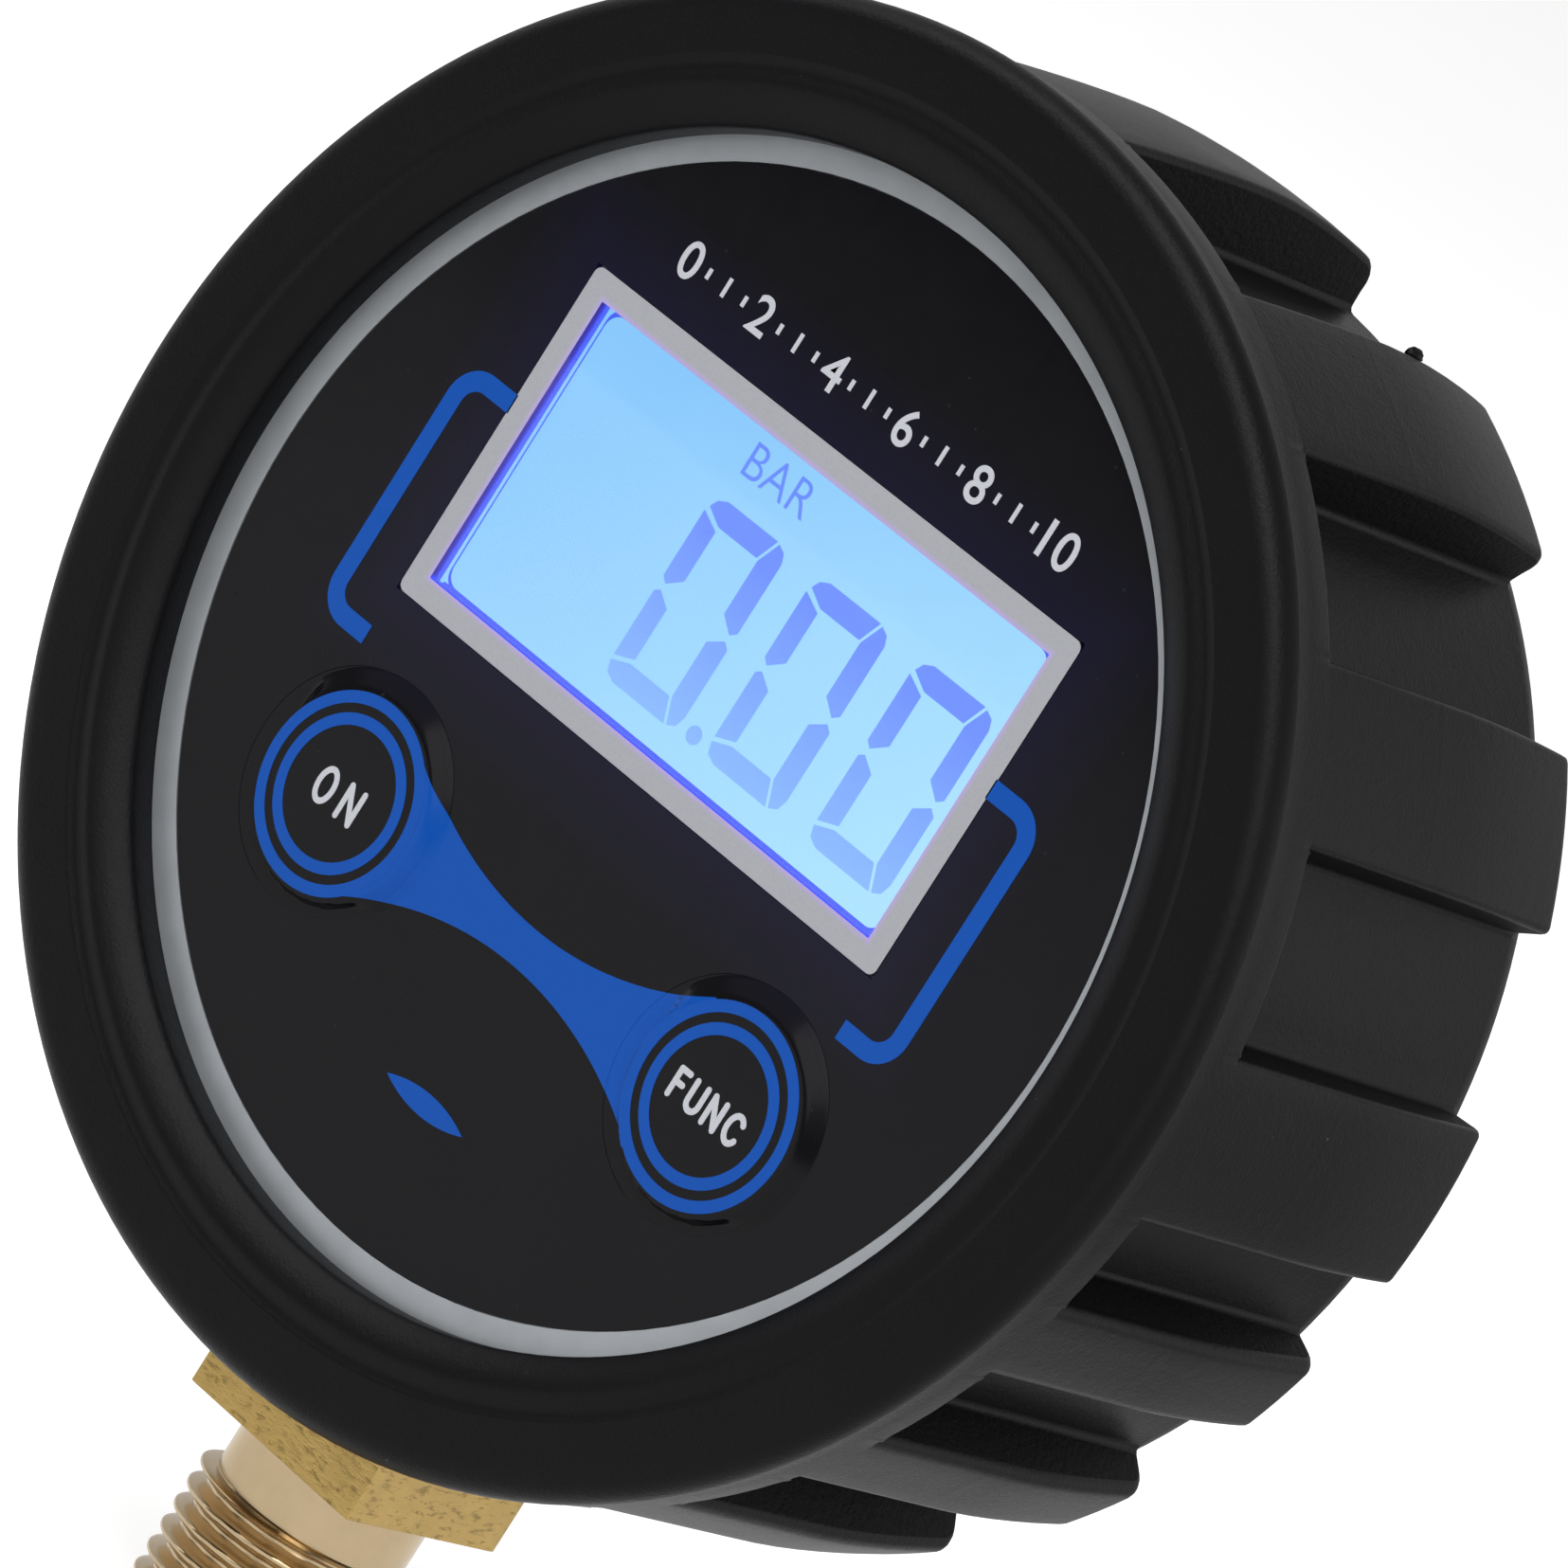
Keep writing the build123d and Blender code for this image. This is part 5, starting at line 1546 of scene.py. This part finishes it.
class GAUGE_OT_inside(bpy.types.Operator):
    """Finishes the board, the sensor and the power parts inside the case"""

    bl_idname = "gauge.inside"
    bl_label = "Inside Parts"

    def execute(self, context):
        white = moulded("white_plastic", srgb(228, 228, 224), 0.3, 0.008, (0.4, 0.5))
        guide = clear_finish("light_guide", (0.86, 0.93, 1.0), 0.08)
        film = metal("reflector_film", srgb(226, 230, 234), (1, 1, 1), 0.5, (0.1, 0.22), 0.003)
        led = glowing("backlight_led", srgb(120, 190, 255), 1.0, 0.2, 1.0)
        zebra = moulded("zebra_rubber", srgb(186, 128, 138), 0.2, 0.006, (0.5, 0.65))
        stripes = zebra.ramp(zebra.noise(0.25, 0.0, 0.0, (1, 0.02, 0.02)), [(0.46, 0.0), (0.54, 1.0)])
        zebra.tone(zebra.mix(stripes, (*srgb(40, 36, 38), 1), (*srgb(190, 140, 150), 1)))
        chip = moulded("chip_black", srgb(34, 34, 36), 0.12, 0.006, (0.5, 0.62))
        tan = moulded("capacitor_tan", srgb(170, 138, 96), 0.2, 0.006, (0.35, 0.5))
        amber = moulded("ribbon_amber", srgb(186, 112, 32), 0.4, 0.004, (0.2, 0.34))
        steel = metal("contact_steel", srgb(198, 198, 194), (0.1, 1, 1), 0.3, (0.22, 0.38), 0.004)
        screw = metal("board_screw_steel", srgb(184, 184, 182), (1, 1, 1), 0.25, (0.24, 0.4), 0.004)
        ceramic = moulded("sensor_ceramic", srgb(224, 220, 208), 0.25, 0.008, (0.5, 0.65))
        switch = moulded("switch_plastic", srgb(46, 46, 48), 0.2, 0.006, (0.4, 0.5))
        plunger = moulded("switch_plunger", srgb(112, 112, 116), 0.2, 0.006, (0.35, 0.48))
        seal = moulded("gasket_rubber", srgb(28, 28, 29), 0.25, 0.01, (0.55, 0.7))
        connector = moulded("connector_plastic", srgb(206, 200, 186), 0.25, 0.006, (0.4, 0.52))
        for finish, nodes in (
            (white.material, ("lcd_holder",)),
            (guide, ("light_guide",)),
            (film.material, ("reflector_film",)),
            (led.material, ("backlight_leds",)),
            (zebra.material, ("zebra_strip_upper", "zebra_strip_lower")),
            (board_finish(), ("main_board",)),
            (chip.material, ("microcontroller", "sensor_amplifier")),
            (steel.material, ("clock_crystal", "stem_circlip", "battery_bridge")),
            (steel.material, ("battery_contact_positive", "battery_contact_negative")),
            (tan.material, ("capacitors",)),
            (amber.material, ("sensor_ribbon",)),
            (connector.material, ("sensor_connector",)),
            (screw.material, ("board_screws", "sensor_retaining_ring")),
            (ceramic.material, ("pressure_sensor",)),
            (switch.material, ("switch_on", "switch_func")),
            (plunger.material, ("plunger_on", "plunger_func")),
            (seal.material, ("stem_gasket", "sensor_o_ring")),
            (cell_finish(), ("battery_cell_upper", "battery_cell_lower")),
        ):
            for node in nodes:
                paint(node, finish)
        return {"FINISHED"}


# ------------------------------------------------------------------ stage
def aim(thing, target, roll=0.0):
    """Points a light or a camera at a place."""
    forward = (target - thing.location).normalized()
    thing.rotation_mode = "QUATERNION"
    thing.rotation_quaternion = forward.to_track_quat("-Z", "Y") @ Quaternion((0, 0, 1), roll)


def soft_light(name, place, target, power, width):
    """A square soft light."""
    lamp = bpy.data.lights.new(name, "AREA")
    lamp.energy = power
    lamp.size = width
    holder = bpy.data.objects.new(name, lamp)
    bpy.context.scene.collection.objects.link(holder)
    holder.location = place
    aim(holder, target)


def studio_world(strength):
    """Even room light, seen as plain white, with a dark card that the dial's gloss picks up."""
    world = bpy.data.worlds.new("studio")
    bpy.context.scene.world = world
    world.use_nodes = True
    tree = world.node_tree
    nodes, links = tree.nodes, tree.links
    background = nodes["Background"]
    place = nodes.new("ShaderNodeTexCoord")
    split = nodes.new("ShaderNodeSeparateXYZ")
    links.new(place.outputs["Generated"], split.inputs[0])

    def calc(operation, first, second=0.0):
        """One arithmetic step on two values, each a socket or fixed."""
        made = nodes.new("ShaderNodeMath")
        made.operation = operation
        for value, target in zip((first, second), made.inputs):
            feed(tree, value, target)
        return made.outputs[0]

    def span(source, low, high, to_low, to_high):
        """Carries low to high over to to_low to to_high with soft ends."""
        made = nodes.new("ShaderNodeMapRange")
        made.interpolation_type = "SMOOTHSTEP"
        for value, target in zip((source, low, high, to_low, to_high), made.inputs):
            feed(tree, value, target)
        return made.outputs[0]

    x, y, z = split.outputs
    table = calc("SUBTRACT", z, calc("MAXIMUM", calc("MULTIPLY", calc("ADD", x, 0.6), -0.35), 0.0))
    card = calc("MULTIPLY", span(table, -0.166, -0.13, 0.0, 1.0), span(y, -0.1, -0.4, 0.0, 1.0))
    above = span(calc("ADD", z, calc("MULTIPLY", x, 0.21)), 0.05, 0.1, 0.0, 0.32)
    overhead = calc("MULTIPLY", span(z, 0.3, 0.85, 0.65, 0.4), span(x, 0.2, 0.6, 1.0, 2.0))
    dark = calc("MULTIPLY", overhead, span(card, 0.0, 1.0, 1.0, 0.14))
    gloss = calc("MAXIMUM", dark, above)
    light = nodes.new("ShaderNodeLightPath")
    seen = calc("MAXIMUM", light.outputs["Is Camera Ray"], light.outputs["Is Transmission Ray"])
    diffuse = calc("MULTIPLY", strength, calc("SUBTRACT", 1.0, seen))
    glossy = light.outputs["Is Glossy Ray"]
    room = calc("ADD", calc("MULTIPLY", diffuse, calc("SUBTRACT", 1.0, glossy)), seen)
    total = calc("ADD", room, calc("MULTIPLY", gloss, glossy))
    links.new(total, background.inputs["Strength"])
    background.inputs["Color"].default_value = (1, 1, 1, 1)


def floor_finish(stage):
    """Pale floor that the camera sees nearly white, with the shadow kept, and gloss sees as even."""
    made = Finish("pale_floor", stage.floor, Roughness=0.9, Specular_IOR_Level=0.05)
    path = made.node("ShaderNodeLightPath")
    glossy = path.outputs["Is Glossy Ray"]
    pale = made.mix(made.noise(60.0, 2.0), shade(stage.floor, 0.995), shade(stage.floor, 1.005))
    made.tone(made.mix(glossy, pale, (0, 0, 0, 1)))
    seen = made.math("MAXIMUM", path.outputs["Is Camera Ray"], path.outputs["Is Transmission Ray"])
    plain = made.math("MULTIPLY", seen, 0.6)
    even = made.range(made.axis("Y"), 0.07, 0.14, 1.0, 0.5)
    made.light((1, 1, 1, 1), made.math("ADD", plain, made.math("MULTIPLY", glossy, even)))
    return made.material


class GAUGE_OT_stage(bpy.types.Operator):
    """Sets the floor, the soft lights and the camera"""

    bl_idname = "gauge.stage"
    bl_label = "Floor, Lights and Camera"

    def execute(self, context):
        stage = context.scene.gauge_stage
        scene = context.scene
        low = min(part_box(node)[0].z for node in frame["nodes"])
        mesh = bpy.data.meshes.new("floor")
        side, front, back = 2.0, DIAL.y - 0.36, 2.0
        corners = [
            (x, y, low - 0.02 * MM)
            for x, y in ((-side, front), (side, front), (side, back), (-side, back))
        ]
        mesh.from_pydata(corners, [], [(0, 1, 2, 3)])
        mesh.materials.append(floor_finish(stage))
        ground = bpy.data.objects.new("floor", mesh)
        scene.collection.objects.link(ground)

        studio_world(stage.world)
        target = DIAL + Vector((0, 12, 0)) * MM
        power = stage.key_power
        for name, way, share, size in (
            ("key", (0.09, -0.6, 0.75), 1.1, 0.42),
            ("upper_right", (0.48, -0.7, 0.48), 0.7, 0.42),
            ("right", (0.6, -0.76, 0.05), 0.4, 0.42),
            ("upper_left", (-0.33, -0.44, 0.8), 0.7, 0.42),
            ("left", (-0.66, -0.28, 0.62), 0.4, 0.42),
            ("front", (-0.14, -0.94, 0.3), 0.3, 0.45),
        ):
            soft_light(name, DIAL + Vector(way), target, power * share, size)

        sight = Vector(
            (
                -math.sin(stage.azimuth) * math.cos(stage.elevation),
                math.cos(stage.azimuth) * math.cos(stage.elevation),
                -math.sin(stage.elevation),
            )
        )
        lens = bpy.data.cameras.new("camera")
        lens.sensor_width = 36
        lens.lens = stage.lens
        lens.clip_end = 50
        camera = bpy.data.objects.new("camera", lens)
        scene.collection.objects.link(camera)
        target = DIAL + Vector((stage.aim_x, 0, stage.aim_z))
        camera.location = target - sight * stage.distance
        aim(camera, target, stage.roll)
        scene.camera = camera
        scene.view_settings.view_transform = "Standard"
        return {"FINISHED"}


# ------------------------------------------------------------------ panel and registration
SETTINGS = (
    ("gauge_boot", GaugeBootSettings, GAUGE_OT_boot),
    ("gauge_stem", GaugeStemSettings, GAUGE_OT_stem),
    ("gauge_dial", GaugeDialSettings, GAUGE_OT_case),
    (None, None, GAUGE_OT_prints),
    ("gauge_display", GaugeDisplaySettings, GAUGE_OT_display),
    ("gauge_buttons", GaugeButtonSettings, GAUGE_OT_buttons),
    (None, None, GAUGE_OT_rear),
    (None, None, GAUGE_OT_inside),
    ("gauge_stage", GaugeStageSettings, GAUGE_OT_stage),
)


class GAUGE_PT_panel(bpy.types.Panel):
    """Lists the gauge's pieces in the sidebar"""

    bl_idname = "GAUGE_PT_panel"
    bl_label = "Pressure Gauge"
    bl_space_type = "VIEW_3D"
    bl_region_type = "UI"
    bl_category = "Gauge"

    def draw(self, context):
        for name, settings, operator in SETTINGS:
            box = self.layout.box()
            box.operator(operator.bl_idname)
            if settings:
                group = getattr(context.scene, name)
                for key in settings.__annotations__:
                    box.prop(group, key)


def register():
    """Adds the settings, the operators and the panel."""
    for name, settings, operator in SETTINGS:
        if settings:
            bpy.utils.register_class(settings)
            setattr(bpy.types.Scene, name, PointerProperty(type=settings))
        bpy.utils.register_class(operator)
    bpy.utils.register_class(GAUGE_PT_panel)


def unregister():
    """Takes the panel, the operators and the settings away again."""
    bpy.utils.unregister_class(GAUGE_PT_panel)
    for name, settings, operator in reversed(SETTINGS):
        bpy.utils.unregister_class(operator)
        if settings:
            delattr(bpy.types.Scene, name)
            bpy.utils.unregister_class(settings)


def main():
    """Builds every group of pieces."""
    register()
    for _, _, operator in SETTINGS:
        group, action = operator.bl_idname.split(".")
        getattr(getattr(bpy.ops, group), action)()


if __name__ == "__main__":
    main()
